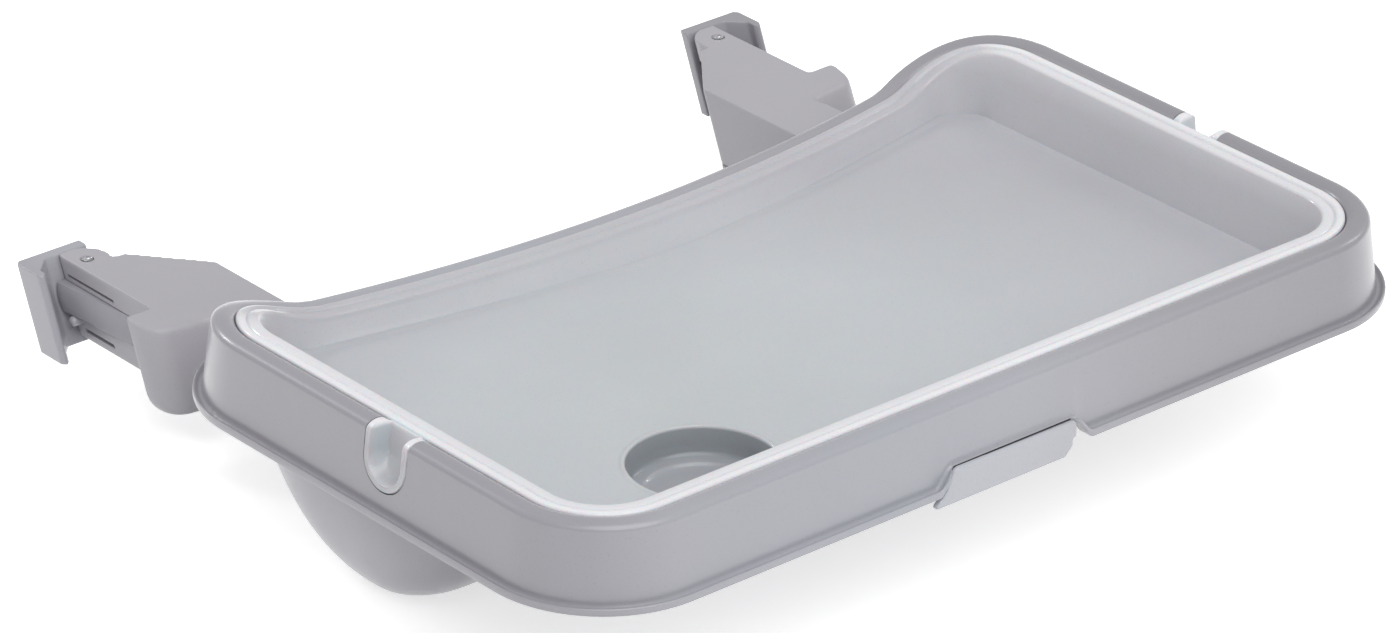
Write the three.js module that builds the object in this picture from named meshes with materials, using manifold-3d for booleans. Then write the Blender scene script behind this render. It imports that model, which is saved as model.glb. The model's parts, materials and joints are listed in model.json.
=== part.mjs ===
// High chair tray: a moulded pan with a lift-out insert on two arms that clip to leaning posts.
// Millimetres. +X runs along the tray's width, +Y towards the child, +Z up.
// The design plane z = 0 is the upper edge of the insert's rim and y = 0 is the rim's front edge.
import * as THREE from 'three';
import { mergeVertices } from 'three/addons/utils/BufferGeometryUtils.js';
import Module from 'manifold-3d';

const wasm = await Module();
wasm.setup();

// Clearances and sheets
const gap = 0.3;
const overrun = 6;
const insertSheet = 2;
const baseSheet = 2.5;
const wallGap = 1.2;
const seatGap = 0.45;

// Rim line, the outer edge of the insert's rim
const panHalfWidth = 215;
const panRearCentre = 228;
const panRearRise = 18.5;
const rearCurveHalf = 168;
const rimCurveShare = 2;
const frontCornerRadius = 36;
const rearCornerRadius = 36;
const rimDip = 16;
const dipFlatHalf = 140;
const dipEndHalf = 208;

// Floor line, the foot of the insert's inner wall
const floorHalfWidth = 191.6;
const floorFront = 14;
const floorRearCentre = 206;
const floorRearRise = 24;
const floorCurveShare = 1.4;
const floorFrontRadius = 26;
const floorRearRadius = 16;
const insertFloorZ = -26;
const floorFillet = 4;

// Insert rim, cup recess and tongues
const rimBand = 10;
const rimEdgeDrop = 1.6;
const grooveInset = 4.2;
const grooveDepth = 0.7;
const grooveHalf = 0.7;
const beadHeight = 0.7;
const beadInnerShare = 0.67;
const beadOuterShare = 0.33;
const rimRound = 1.6;
const cupX = -113;
const cupY = 53;
const cupRadius = 31;
const cupDepth = 14;
const cupStepRadius = 24;
const cupStepDepth = 1.5;
const cupLip = 1.8;
const cupLipHeight = 0.7;
const notchY = 115;
const notchHalf = 13;
const notchDepth = 28.5;
const tongueBorder = 2.8;
const tongueSheet = 2;
const tongueProud = 0.2;
const tongueSetback = 0.8;
const scoopDepthZ = -13;
const scoopFootZ = -24;
const scoopFootInset = 3;

// Moulded pan
const rollGap = 0.5;
const rollWidth = 10.5;
const rollRise = 2.6;
const rollFoot = 2;
const wallDraft = 3.5;
const flangeLip = 4.3;
const flangeBottomZ = -34.6;
const flangeThickness = 3.4;
const flangeRound = 0.6;
const bossRadius = 4.6;
const bossDrop = 4;
const bossBite = 5;

// Front arch and pull tab
const tabLeft = -49;
const tabRight = 22;
const archSlant = 7;
const archRise = 8.4;
const archSpare = 11;
const archHood = 2;
const tabTopGap = 0.3;
const tabPlate = 3;
const tabDrop = 4.2;
const tabSlant = 4;
const tabStrip = 3;
const tabStripZ = -40.7;
const tabStripWidth = 24;
const tabStroke = 8;
const tabFoot = 3;
const camHalf = 32;
const camFrontY = 133;
const camRearY = 170;
const lugY = 118;
const lugThickness = 3;
const lugDrop = 6.5;
const lugHalf = 5;

// Lock bolts, their guides and the tab's guide
const boltY = 150;
const boltHalf = 6;
const boltThickness = 4;
const boltDrop = 1;
const boltInnerX = 8;
const boltBite = 4.5;
const boltStroke = 6;
const slideTravel = 25;
const pegRadius = 2.2;
const pegX = 20;
const pegStand = 1;
const guideX = 96;
const guideLength = 20;
const guideHalf = 16;
const guideScrewY = 11.5;
const guideFloor = 1.5;
const tabGuideY = 70;
const tabGuideLength = 18;
const tabGuideSide = 11;
const tabGuideScrew = 6;
const tabGuideDrop = 7;
const springRadius = 2.8;
const springBore = 1.4;

// Screws
const screwShank = 1.2;
const screwHead = 2.8;
const screwHeadHeight = 1.8;
const screwPlay = 0.25;

// Rails
const railInset = 15;
const railFrontY = 148;
const railLength = 60;
const railHalf = 8;
const railStemHalf = 3;
const railFoot = 3.2;
const railScrewInset = 12;

// Arms, as leaning prisms drawn at their top face
const lean = THREE.MathUtils.degToRad(23);
const armTopZ = -40;
const armHeight = 33;
const armTopPlate = 3;
const armWall = 3;
const armInnerX = 136;
const armFrontOuterX = 168;
const armStep = 16;
const armFrontY = 118;
const bendY = 343;
const hollowRearY = 366;
const railSlotRearY = 262;
const pinInset = 7;
const pinY = 380;
const tipReach = 9.6;
const tipTurnY = 381.7;
const knobRearY = 326.5;
const knobRearLean = 2.2;
const knobFrontY = 305.7;
const knobReach = 13.9;
const knobHeight = 40;
const knobFootY = 312;
const knobFootReach = 9;
const knobRoundX = 12;
const knobRoundY = 15.3;
const knobDipX = 6;
const knobDipY = 3.7;
const knobBlend = 3;
const knobChamfer = 6;

// Window, slits and peg in an arm's outer face
const windowTop = 9.5;
const windowHeight = 17.5;
const windowFrontY = 342;
const slitHeight = 2;
const slitDepth = 4;
const upperSlitTop = 6.2;
const upperSlitFrontY = 351;
const upperSlitRearY = 384;
const lowerSlitTop = 28;
const lowerSlitFrontY = 351;
const lowerSlitRearY = 372;
const ledgeHeight = 5;
const ledgeInset = 1.6;
const ledgeRearY = 371;
const stopRadius = 2.75;
const stopSeat = 5;

// Crossbar and covers
const crossbarHalf = 14;
const crossbarThickness = 6;
const crossbarScrewY = 8;
const coverSheet = 2.2;
const coverBossDepth = 9;
const coverBossHalf = 5;
const coverBossFrontY = 131;
const coverBossRearY = 262;
const coverBossInset = 9;
const coverRib = 3;
const ribFrontY = 215;
const ribRearY = 322;
const seatRibY = 137;

// Draw bars, grips and their springs
const barTop = 10;
const barHeight = 11.5;
const barInnerReach = 6;
const barOuterReach = 2.5;
const barFrontWidth = 6.6;
const barFrontPlay = 1.4;
const barFrontY = 166;
const barJogFrontY = 318;
const barJogRearY = 328;
const gripStroke = 7;
const gripInnerReach = 17;
const gripOuterReach = 49.6;
const gripFrontY = 100;
const gripRearY = 231.5;
const gripTopZ = -37.5;
const gripDepth = 57.5;
const gripRake = 33.6;
const gripPowerShare = 2.8;
const gripPlanShare = 2.6;
const gripRings = 10;
const gripSides = 36;
const gripTongueY = 180;
const gripTongueLength = 24;
const gripSpringRadius = 3.2;

// Clips and pins
const clipPlateStand = 12;
const clipPlate = 5;
const clipSwing = THREE.MathUtils.degToRad(75);
const clipInnerReach = 8.4;
const clipOuterReach = 25.5;
const clipLip = 4;
const clipLipY = 379;
const clipHeight = 36.5;
const clipWeb = 8;
const clipCorner = 1.5;
const knuckleRadius = 5.2;
const knuckleTop = 12.4;
const knuckleHeight = 9.6;
const neckHalf = 4;
const pinRadius = 1.9;
const pinHeadRadius = 2.6;
const pinHeadHeight = 1.4;
const pinHeadStand = 0.5;
const coilRadius = 4.4;
const coilHeight = 2.6;

// Places and levels that follow from the sizes above
const armOuterX = armFrontOuterX + armStep;
const railX = armFrontOuterX - railInset;
const pinX = armOuterX - pinInset;
const tipInnerX = pinX - tipReach;
const knobFootOuterX = armOuterX + knobFootReach;
const coverBossX = armInnerX + coverBossInset;
const barInnerX = pinX - barInnerReach;
const barOuterX = pinX + barOuterReach;
const barFrontOuterX = armFrontOuterX - armWall - barFrontPlay;
const barFrontInnerX = barFrontOuterX - barFrontWidth;
const gripInnerX = armFrontOuterX - gripInnerReach;
const gripOuterX = armFrontOuterX + gripOuterReach;
const clipInnerX = pinX - clipInnerReach;
const clipOuterX = pinX + clipOuterReach;
const clipPlateY = pinY + clipPlateStand;
const baseFloorZ = insertFloorZ - insertSheet - gap;
const baseUnderZ = baseFloorZ - baseSheet;
const bossZ = baseUnderZ - bossDrop;
const hungZ = bossZ - gap;
const ledgeZ = -insertSheet - seatGap;
const wallFootOffset = rollGap + rollWidth + wallDraft;
const flangeOffset = wallFootOffset + flangeLip;
const flangeTopZ = flangeBottomZ + flangeThickness;
const armCeilingZ = armTopZ - armTopPlate;
const armBottomZ = armTopZ - armHeight;
const railFootTopZ = armCeilingZ - gap;
const railFootZ = railFootTopZ - railFoot;
const boltTopZ = armCeilingZ - boltDrop;
const boltBottomZ = boltTopZ - boltThickness;
const guideBottomZ = boltBottomZ - gap - guideFloor;
const crossbarTopZ = guideBottomZ - gap;
const coverTopZ = armBottomZ - gap;
const coverBottomZ = coverTopZ - coverSheet;
const windowTopZ = armTopZ - windowTop;
const windowBottomZ = windowTopZ - windowHeight;
const barTopZ = armTopZ - barTop;
const barBottomZ = barTopZ - barHeight;
const crossScrewZ = crossbarTopZ - crossbarThickness / 2;
const stopZ = windowBottomZ + stopRadius;
const tabX = (tabLeft + tabRight) / 2;
const tabTopZ = flangeBottomZ + archRise - tabTopGap;
const tabBottomZ = flangeBottomZ - tabDrop;
const tabFaceY = -flangeOffset;
const swingRadius = (clipPlateY - pinY) * Math.cos(lean);
const noseRadius = swingRadius - gap;
const cornerSteps = 8;
const rearSteps = 8;
const rollSteps = 6;
const innerRollSteps = 2;
const roundSides = 28;
const smallSides = 12;

// Solids

function toSolid(source) {
  const bare = source.clone();
  bare.deleteAttribute('normal');
  bare.deleteAttribute('uv');
  const merged = mergeVertices(bare);
  const vertProperties = new Float32Array(merged.attributes.position.array);
  const triVerts = new Uint32Array(merged.index.array);
  return new wasm.Manifold(new wasm.Mesh({ numProp: 3, vertProperties, triVerts }));
}

function toGeometry(solid) {
  const mesh = solid.getMesh();
  const geometry = new THREE.BufferGeometry();
  geometry.setAttribute('position', new THREE.BufferAttribute(new Float32Array(mesh.vertProperties), 3));
  geometry.setIndex(new THREE.BufferAttribute(new Uint32Array(mesh.triVerts), 1));
  geometry.computeVertexNormals();
  return geometry;
}

function mirrored(geometry) {
  const copy = geometry.clone();
  const index = copy.index.array;
  for (let i = 0; i < index.length; i += 3) {
    const second = index[i + 1];
    index[i + 1] = index[i + 2];
    index[i + 2] = second;
  }
  copy.applyMatrix4(new THREE.Matrix4().makeScale(-1, 1, 1));
  copy.computeVertexNormals();
  return copy;
}

function joined(solids) {
  return solids.reduce((all, solid) => all.add(solid));
}

function block(x0, x1, y0, y1, z0, z1) {
  const geometry = new THREE.BoxGeometry(x1 - x0, y1 - y0, z1 - z0);
  geometry.translate((x0 + x1) / 2, (y0 + y1) / 2, (z0 + z1) / 2);
  return toSolid(geometry);
}

function shapeOf(points) {
  return new THREE.Shape(points.map(([x, y]) => new THREE.Vector2(x, y)));
}

function extruded(shape, depth) {
  const options = { depth, bevelEnabled: false, steps: 1, curveSegments: cornerSteps };
  return new THREE.ExtrudeGeometry(shape, options);
}

// An outline in X and Y, standing between two levels.
function upright(points, z0, z1) {
  const geometry = extruded(shapeOf(points), z1 - z0);
  geometry.translate(0, 0, z0);
  return toSolid(geometry);
}

// An outline drawn at the arms' top face and swept along the posts' lean.
function leaning(points, z0, z1) {
  const geometry = extruded(shapeOf(points), z1 - z0);
  geometry.translate(0, 0, z0);
  const position = geometry.attributes.position;
  for (let i = 0; i < position.count; i += 1) {
    const shift = (position.getZ(i) - armTopZ) * Math.tan(lean);
    position.setY(i, position.getY(i) + shift);
  }
  return toSolid(geometry);
}

// An outline in X and Z, running along Y.
function alongY(points, y0, y1) {
  const geometry = extruded(shapeOf(points), y1 - y0);
  geometry.rotateX(Math.PI / 2);
  geometry.translate(0, y1, 0);
  return toSolid(geometry);
}

// A shape in Y and Z, running along X.
function alongX(shape, x0, x1) {
  const geometry = extruded(shape, x1 - x0);
  geometry.rotateX(Math.PI / 2);
  geometry.rotateZ(Math.PI / 2);
  geometry.translate(x0, 0, 0);
  return toSolid(geometry);
}

function rod(radius, x, y, z0, z1, sides) {
  const geometry = new THREE.CylinderGeometry(radius, radius, z1 - z0, sides);
  geometry.rotateX(Math.PI / 2);
  geometry.translate(x, y, (z0 + z1) / 2);
  return toSolid(geometry);
}

function rodAlongX(radius, x0, x1, y, z, sides) {
  const geometry = new THREE.CylinderGeometry(radius, radius, x1 - x0, sides);
  geometry.rotateZ(Math.PI / 2);
  geometry.translate((x0 + x1) / 2, y, z);
  return toSolid(geometry);
}

function rodAlongY(radius, x, y0, y1, z, sides) {
  const geometry = new THREE.CylinderGeometry(radius, radius, y1 - y0, sides);
  geometry.translate(x, (y0 + y1) / 2, z);
  return toSolid(geometry);
}

// Moves a geometry drawn along the pin to the pin: its top lies in the arms' top face.
function atPin(geometry) {
  geometry.rotateX(-lean);
  geometry.translate(pinX, pinY, armTopZ);
  return toSolid(geometry);
}

function alongPin(points, depth0, depth1) {
  const geometry = extruded(shapeOf(points), depth1 - depth0);
  geometry.translate(0, 0, -depth1);
  return atPin(geometry);
}

function pinRod(radius, depth0, depth1, sides) {
  const geometry = new THREE.CylinderGeometry(radius, radius, depth1 - depth0, sides);
  geometry.rotateX(Math.PI / 2);
  geometry.translate(0, 0, -(depth0 + depth1) / 2);
  return atPin(geometry);
}

// Pan outlines: one point list from the front's middle round to it again, counterclockwise.

function panLine(line) {
  const curve = (x) => line.rear + line.rise * (Math.abs(x) / rearCurveHalf) ** line.power;
  const steepness = (line.rise * line.power) / rearCurveHalf;
  const slope = (x) => steepness * (Math.abs(x) / rearCurveHalf) ** (line.power - 1);
  const cornerX = line.half - line.rearRadius;
  let turn = 0;
  for (let i = 0; i < rearSteps; i += 1) {
    turn = Math.atan(slope(cornerX - line.rearRadius * Math.sin(turn)));
  }
  const joinX = cornerX - line.rearRadius * Math.sin(turn);
  const cornerY = curve(joinX) - line.rearRadius * Math.cos(turn);
  const right = [];
  for (let i = 0; i <= cornerSteps; i += 1) {
    const angle = (i / cornerSteps - 1) * (Math.PI / 2);
    const x = line.half - line.frontRadius * (1 - Math.cos(angle));
    right.push([x, line.front + line.frontRadius * (1 + Math.sin(angle)), 0]);
  }
  for (let i = 0; i <= cornerSteps; i += 1) {
    const angle = (i / cornerSteps) * (Math.PI / 2 + turn);
    const x = cornerX + line.rearRadius * Math.cos(angle);
    right.push([x, cornerY + line.rearRadius * Math.sin(angle), 1]);
  }
  for (let i = 1; i < rearSteps; i += 1) {
    const x = joinX * (1 - i / rearSteps);
    right.push([x, curve(x), 1]);
  }
  const left = right.map(([x, y, rear]) => [-x, y, rear]).reverse();
  return [[0, line.front, 0], ...right, [0, curve(0), 1], ...left];
}

function rimLine(offset) {
  return panLine({
    half: panHalfWidth + offset,
    front: -offset,
    rear: panRearCentre + offset,
    rise: panRearRise,
    power: rimCurveShare,
    frontRadius: frontCornerRadius + offset,
    rearRadius: rearCornerRadius + offset,
  });
}

function floorLine(offset) {
  return panLine({
    half: floorHalfWidth + offset,
    front: floorFront - offset,
    rear: floorRearCentre + offset,
    rise: floorRearRise,
    power: floorCurveShare,
    frontRadius: floorFrontRadius + offset,
    rearRadius: floorRearRadius + offset,
  });
}

// How far each point of an outline goes down with the rear rim, from 0 to 1.
const dipWeights = rimLine(0).map(([x, , rear]) => {
  const along = THREE.MathUtils.clamp((Math.abs(x) - dipFlatHalf) / (dipEndHalf - dipFlatHalf), 0, 1);
  return rear * (1 - along * along * (3 - 2 * along));
});

function rimRing(offset, z) {
  return rimLine(offset).map(([x, y], i) => [x, y, z - rimDip * dipWeights[i]]);
}

function levelRing(line, z) {
  return line.map(([x, y]) => [x, y, z]);
}

function between(first, second, share) {
  return first.map((point, i) => point.map((value, k) => value + (second[i][k] - value) * share));
}

// Closes a stack of equal rings into one body: the first ring is capped above, the last one below.
function lofted(rings) {
  const count = rings[0].length;
  const positions = [];
  const indices = [];
  const middle = (ring) => [0, 1, 2].map((k) => ring.reduce((sum, point) => sum + point[k], 0) / count);
  rings.forEach((ring) => ring.forEach((point) => positions.push(...point)));
  positions.push(...middle(rings[0]), ...middle(rings[rings.length - 1]));
  const topCentre = rings.length * count;
  for (let i = 0; i < count; i += 1) {
    const next = (i + 1) % count;
    indices.push(topCentre, i, next);
    indices.push(topCentre + 1, (rings.length - 1) * count + next, (rings.length - 1) * count + i);
    for (let r = 0; r + 1 < rings.length; r += 1) {
      const inner = r * count;
      const outer = inner + count;
      indices.push(inner + i, outer + i, outer + next);
      indices.push(inner + i, outer + next, inner + next);
    }
  }
  const geometry = new THREE.BufferGeometry();
  geometry.setAttribute('position', new THREE.Float32BufferAttribute(positions, 3));
  geometry.setIndex(indices);
  return toSolid(geometry);
}

// The finger notch and the tongue's border share this U, open at the top.
function notchShape(half, depth) {
  const shape = new THREE.Shape();
  const top = rollRise + overrun;
  shape.moveTo(notchY - half, top);
  shape.lineTo(notchY - half, half - depth);
  shape.absarc(notchY, half - depth, half, Math.PI, 2 * Math.PI, false);
  shape.lineTo(notchY + half, top);
  return shape;
}

function notchCut() {
  return alongX(notchShape(notchHalf + gap, notchDepth + gap), panHalfWidth + gap,
    panHalfWidth + flangeOffset + overrun);
}

// Insert: rim, wall and floor in one sheet, with a cup recess and two tongues.

function insertShell() {
  const rimInner = rimRing(-rimBand, -rimEdgeDrop);
  const foot = levelRing(floorLine(0), insertFloorZ);
  const underTop = rimRing(insertSheet - rimBand, -insertSheet);
  const underFoot = levelRing(floorLine(insertSheet), insertFloorZ - insertSheet);
  const filletShare = floorFillet / -insertFloorZ;
  return lofted([
    levelRing(floorLine(-floorFillet), insertFloorZ),
    between(foot, rimInner, filletShare / 2),
    between(foot, rimInner, 2 * filletShare),
    rimInner,
    rimRing(rimRound - rimBand, 0),
    rimRing(-grooveInset - grooveHalf, 0),
    rimRing(-grooveInset, -grooveDepth),
    rimRing(-grooveInset + grooveHalf, 0),
    rimRing(-beadInnerShare * (grooveInset - grooveHalf), beadHeight),
    rimRing(-beadOuterShare * (grooveInset - grooveHalf), beadHeight),
    rimRing(0, 0),
    rimRing(0, -insertSheet),
    underTop,
    between(underFoot, underTop, filletShare),
    levelRing(floorLine(insertSheet - floorFillet), insertFloorZ - insertSheet),
  ]);
}

// One tongue: a raised border that follows the pan's roll and wall, round a scoop below the insert's rim.
function tongue() {
  const top = -gap;
  const spanX = rollWidth / 2 + tongueProud;
  const spanZ = rollFoot + rollRise + tongueProud;
  const border = [[-rimRound, top], [0, top]];
  for (let i = 1; i <= cornerSteps; i += 1) {
    const angle = Math.PI * (1 - i / cornerSteps);
    border.push([rollGap + rollWidth / 2 + spanX * Math.cos(angle), spanZ * Math.sin(angle) - rollFoot]);
  }
  border.push([wallFootOffset + tongueProud, flangeTopZ]);
  const wallX = gap + tongueSetback + tongueSheet;
  const scoop = (back) => [
    [-rimRound, top - back],
    [wallX - back, top - back],
    [wallX - back, scoopDepthZ - back / 2],
    [wallFootOffset - scoopFootInset - back, scoopFootZ],
    [wallFootOffset - back, flangeTopZ],
  ];
  const reach = notchHalf + overrun;
  const slice = (face, back) => alongY([...face, ...back.reverse()].map(([x, z]) => [panHalfWidth + x, z]),
    notchY - reach, notchY + reach);
  const whole = alongX(notchShape(notchHalf, notchDepth), panHalfWidth - rimBand,
    panHalfWidth + flangeOffset);
  const inner = alongX(notchShape(notchHalf - tongueBorder, notchDepth - tongueBorder),
    panHalfWidth + gap, panHalfWidth + flangeOffset + overrun);
  const band = slice(border, scoop(tongueSheet)).intersect(whole).subtract(inner);
  return slice(scoop(0), scoop(tongueSheet)).intersect(whole).add(band);
}

function insertTray() {
  const cupFloorZ = insertFloorZ - cupDepth;
  const right = tongue();
  const left = toSolid(mirrored(toGeometry(right)));
  const cup = joined([
    rod(cupRadius + insertSheet, cupX, cupY, cupFloorZ - insertSheet, insertFloorZ - gap, roundSides),
    rod(cupRadius + cupLip, cupX, cupY, insertFloorZ - insertSheet, insertFloorZ + cupLipHeight,
      roundSides),
  ]);
  const bore = rod(cupRadius, cupX, cupY, cupFloorZ + cupStepDepth, overrun, roundSides);
  const well = rod(cupStepRadius, cupX, cupY, cupFloorZ, overrun, roundSides);
  return joined([insertShell(), right, left, cup]).subtract(bore).subtract(well);
}

// Moulded pan

function rollRings(offset, rise, width, from, to, steps) {
  const rings = [];
  for (let i = 0; i <= steps; i += 1) {
    const angle = from + ((to - from) * i) / steps;
    rings.push(rimRing(offset + (width / 2) * (1 + Math.cos(angle)), -rollFoot + rise * Math.sin(angle)));
  }
  return rings;
}

function baseShell() {
  const innerRoll = rollGap + baseSheet;
  const innerRise = rollFoot + rollRise - baseSheet;
  const ledgeInner = insertSheet - rimBand + wallGap;
  const foot = levelRing(floorLine(insertSheet + wallGap), baseFloorZ);
  const ledge = rimRing(ledgeInner, ledgeZ);
  return lofted([
    foot,
    between(foot, ledge, floorFillet / -insertFloorZ),
    ledge,
    rimRing(rollGap, ledgeZ),
    ...rollRings(rollGap, rollFoot + rollRise, rollWidth, Math.PI, 0, rollSteps),
    levelRing(rimLine(wallFootOffset), flangeTopZ),
    levelRing(rimLine(flangeOffset - flangeRound), flangeTopZ),
    levelRing(rimLine(flangeOffset), flangeTopZ - flangeRound),
    levelRing(rimLine(flangeOffset), flangeBottomZ + flangeRound),
    levelRing(rimLine(flangeOffset - flangeRound), flangeBottomZ),
    levelRing(rimLine(wallFootOffset - baseSheet), flangeBottomZ),
    ...rollRings(innerRoll, innerRise, rollWidth - 2 * baseSheet, 0, Math.PI, innerRollSteps),
    rimRing(innerRoll, ledgeZ - baseSheet),
    rimRing(ledgeInner + baseSheet, ledgeZ - baseSheet),
    levelRing(floorLine(insertSheet + wallGap + baseSheet), baseUnderZ),
  ]);
}

function archPoints(grow) {
  const bottom = flangeBottomZ - overrun;
  const top = flangeBottomZ + archRise + grow;
  const left = tabLeft - grow;
  const right = tabRight + archSpare + grow;
  return [[left, bottom], [right, bottom], [right, flangeBottomZ], [right - archSlant, top],
    [left + archSlant, top], [left, flangeBottomZ]];
}

const bossPlaces = [];
for (const side of [-1, 1]) {
  for (const y of [railFrontY + railScrewInset, railFrontY + railLength - railScrewInset]) {
    bossPlaces.push([side * railX, y]);
  }
  for (const y of [boltY - guideScrewY, boltY + guideScrewY]) {
    bossPlaces.push([side * (guideX + guideLength / 2), y]);
  }
  const reach = tabStripWidth / 2 + tabGuideScrew;
  bossPlaces.push([tabX + side * reach, tabGuideY + tabGuideLength / 2]);
}

function trayBase() {
  const cupOuter = cupRadius + insertSheet + gap + baseSheet;
  const cupUnderZ = insertFloorZ - cupDepth - insertSheet - gap - baseSheet;
  const pocket = rod(cupOuter, cupX, cupY, cupUnderZ, baseFloorZ - gap, roundSides);
  const bore = rod(cupOuter - baseSheet, cupX, cupY, cupUnderZ + baseSheet, overrun, roundSides);
  const arch = alongY(archPoints(0), -flangeOffset - overrun, baseSheet - rollGap - rollWidth);
  const hoodFrontY = -flangeOffset;
  const hood = alongY(archPoints(archHood), hoodFrontY, baseSheet - wallFootOffset);
  const hoodLimit = block(tabLeft - overrun, tabRight + archSpare + overrun, hoodFrontY, 0,
    flangeBottomZ, 0);
  const bosses = joined(bossPlaces.map(([x, y]) => (
    rod(bossRadius, x, y, bossZ, baseFloorZ - gap, smallSides))));
  const bores = joined(bossPlaces.map(([x, y]) => (
    rod(screwShank + screwPlay, x, y, bossZ - overrun, bossZ + bossBite, smallSides))));
  const right = notchCut();
  const left = toSolid(mirrored(toGeometry(right)));
  return joined([baseShell(), pocket, bosses, hood.intersect(hoodLimit)])
    .subtract(joined([bore, bores, arch, right, left]));
}

// Screws stand head down: the shank rises from the head.
function screw(x, y, headZ, tipZ) {
  return joined([
    rod(screwHead, x, y, headZ - screwHeadHeight, headZ, smallSides),
    rod(screwShank, x, y, headZ - gap, tipZ, smallSides),
  ]);
}

function screwHole(x, y, z0, z1) {
  return rod(screwShank + screwPlay, x, y, z0, z1, smallSides);
}

const screwTipZ = bossZ + bossBite - gap;

// Rails under the pan: a pad on the arm's top, a stem in its slot and a foot below its top plate.
function railRight() {
  const rearY = railFrontY + railLength;
  const body = joined([
    block(railX - railHalf, railX + railHalf, railFrontY, rearY, armTopZ + gap, hungZ),
    block(railX - railStemHalf, railX + railStemHalf, railFrontY, rearY, railFootTopZ - gap,
      armTopZ + 2 * gap),
    block(railX - railHalf, railX + railHalf, railFrontY, rearY, railFootZ, railFootTopZ),
  ]);
  const holes = [railFrontY + railScrewInset, rearY - railScrewInset].map((y) => (
    screwHole(railX, y, railFootZ - overrun, 0)));
  return body.subtract(joined(holes));
}

function railScrews() {
  const screws = [];
  for (const side of [-1, 1]) {
    for (const y of [railFrontY + railScrewInset, railFrontY + railLength - railScrewInset]) {
      screws.push(screw(side * railX, y, railFootZ - gap, screwTipZ));
    }
  }
  return screws;
}

// Bolt guides: blocks below the pan with a square way through them for the bolt.
function boltGuideRight() {
  const midX = guideX + guideLength / 2;
  const body = block(guideX, guideX + guideLength, boltY - guideHalf, boltY + guideHalf,
    guideBottomZ, hungZ);
  const way = block(guideX - overrun, guideX + guideLength + overrun, boltY - boltHalf - gap,
    boltY + boltHalf + gap, boltBottomZ - gap, boltTopZ + gap);
  const holes = [boltY - guideScrewY, boltY + guideScrewY].map((y) => joined([
    screwHole(midX, y, guideBottomZ - overrun, 0),
    rod(screwHead + gap, midX, y, guideBottomZ - overrun, boltTopZ - gap, smallSides),
  ]));
  return body.subtract(way).subtract(joined(holes));
}

function tabGuide() {
  const half = tabStripWidth / 2 + tabGuideSide;
  const bottomZ = tabStripZ - tabGuideDrop;
  const rearY = tabGuideY + tabGuideLength;
  const body = block(tabX - half, tabX + half, tabGuideY, rearY, bottomZ, hungZ);
  const way = block(tabX - tabStripWidth / 2 - gap, tabX + tabStripWidth / 2 + gap, tabGuideY - overrun,
    rearY + overrun, tabStripZ - gap, tabStripZ + tabStrip + gap);
  const reach = tabStripWidth / 2 + tabGuideScrew;
  const holes = [-reach, reach].map((dx) => joined([
    screwHole(tabX + dx, (tabGuideY + rearY) / 2, bottomZ - overrun, 0),
    rod(screwHead + gap, tabX + dx, (tabGuideY + rearY) / 2, bottomZ - overrun, boltTopZ - gap, smallSides),
  ]));
  return body.subtract(way).subtract(joined(holes));
}

function guideScrews() {
  const headZ = boltTopZ - 2 * gap;
  const reach = tabStripWidth / 2 + tabGuideScrew;
  const screws = [];
  for (const side of [-1, 1]) {
    screws.push(screw(side * (guideX + guideLength / 2), boltY - guideScrewY, headZ, screwTipZ));
    screws.push(screw(side * (guideX + guideLength / 2), boltY + guideScrewY, headZ, screwTipZ));
    screws.push(screw(tabX + side * reach, tabGuideY + tabGuideLength / 2, headZ, screwTipZ));
  }
  return screws;
}

// Pull tab: the plate in the arch, a strip under the floor and a cam head with two slanted slots.
function camSlot(side) {
  const start = new THREE.Vector2(side * pegX, boltY);
  const end = new THREE.Vector2(side * (pegX - boltStroke), boltY + tabStroke);
  const radius = pegRadius + gap;
  const normal = end.clone().sub(start).normalize().multiplyScalar(radius);
  const across = new THREE.Vector2(-normal.y, normal.x);
  const corner = (point, sign) => [point.x + sign * across.x, point.y + sign * across.y];
  const z0 = tabStripZ - overrun;
  const z1 = tabStripZ + tabStrip + overrun;
  return joined([
    rod(radius, start.x, start.y, z0, z1, smallSides),
    rod(radius, end.x, end.y, z0, z1, smallSides),
    upright([corner(start, -1), corner(end, -1), corner(end, 1), corner(start, 1)], z0, z1),
  ]);
}

function pullTab() {
  const stripTopZ = tabStripZ + tabStrip;
  const backY = tabFaceY + tabPlate;
  const shownLeft = tabLeft + gap;
  const plate = alongY([
    [shownLeft - tabFoot, tabBottomZ], [tabRight - tabSlant, tabBottomZ],
    [tabRight, flangeBottomZ], [tabRight, tabTopZ - tabSlant / 2], [tabRight - tabSlant / 2, tabTopZ],
    [tabLeft + archSlant + gap, tabTopZ], [shownLeft, flangeBottomZ - gap],
    [shownLeft - tabFoot, flangeBottomZ - tabFoot + gap],
  ], tabFaceY, backY);
  return joined([
    plate,
    block(tabX - tabStripWidth / 2, tabX + tabStripWidth / 2, backY - gap, camFrontY + gap,
      tabStripZ, stripTopZ),
    block(-camHalf, camHalf, camFrontY, camRearY, tabStripZ, stripTopZ),
    block(tabX - lugHalf, tabX + lugHalf, lugY, lugY + lugThickness, tabStripZ - lugDrop, tabStripZ + gap),
  ]).subtract(joined([camSlot(-1), camSlot(1)]));
}

function springAlongY(radius, x, y0, y1, z) {
  return rodAlongY(radius, x, y0, y1, z, smallSides)
    .subtract(rodAlongY(springBore, x, y0 - overrun, y1 + overrun, z, smallSides));
}

function tabSpring() {
  const z = tabStripZ - gap - springRadius;
  return springAlongY(springRadius, tabX, tabGuideY + tabGuideLength + gap, lugY - gap, z);
}

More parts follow.
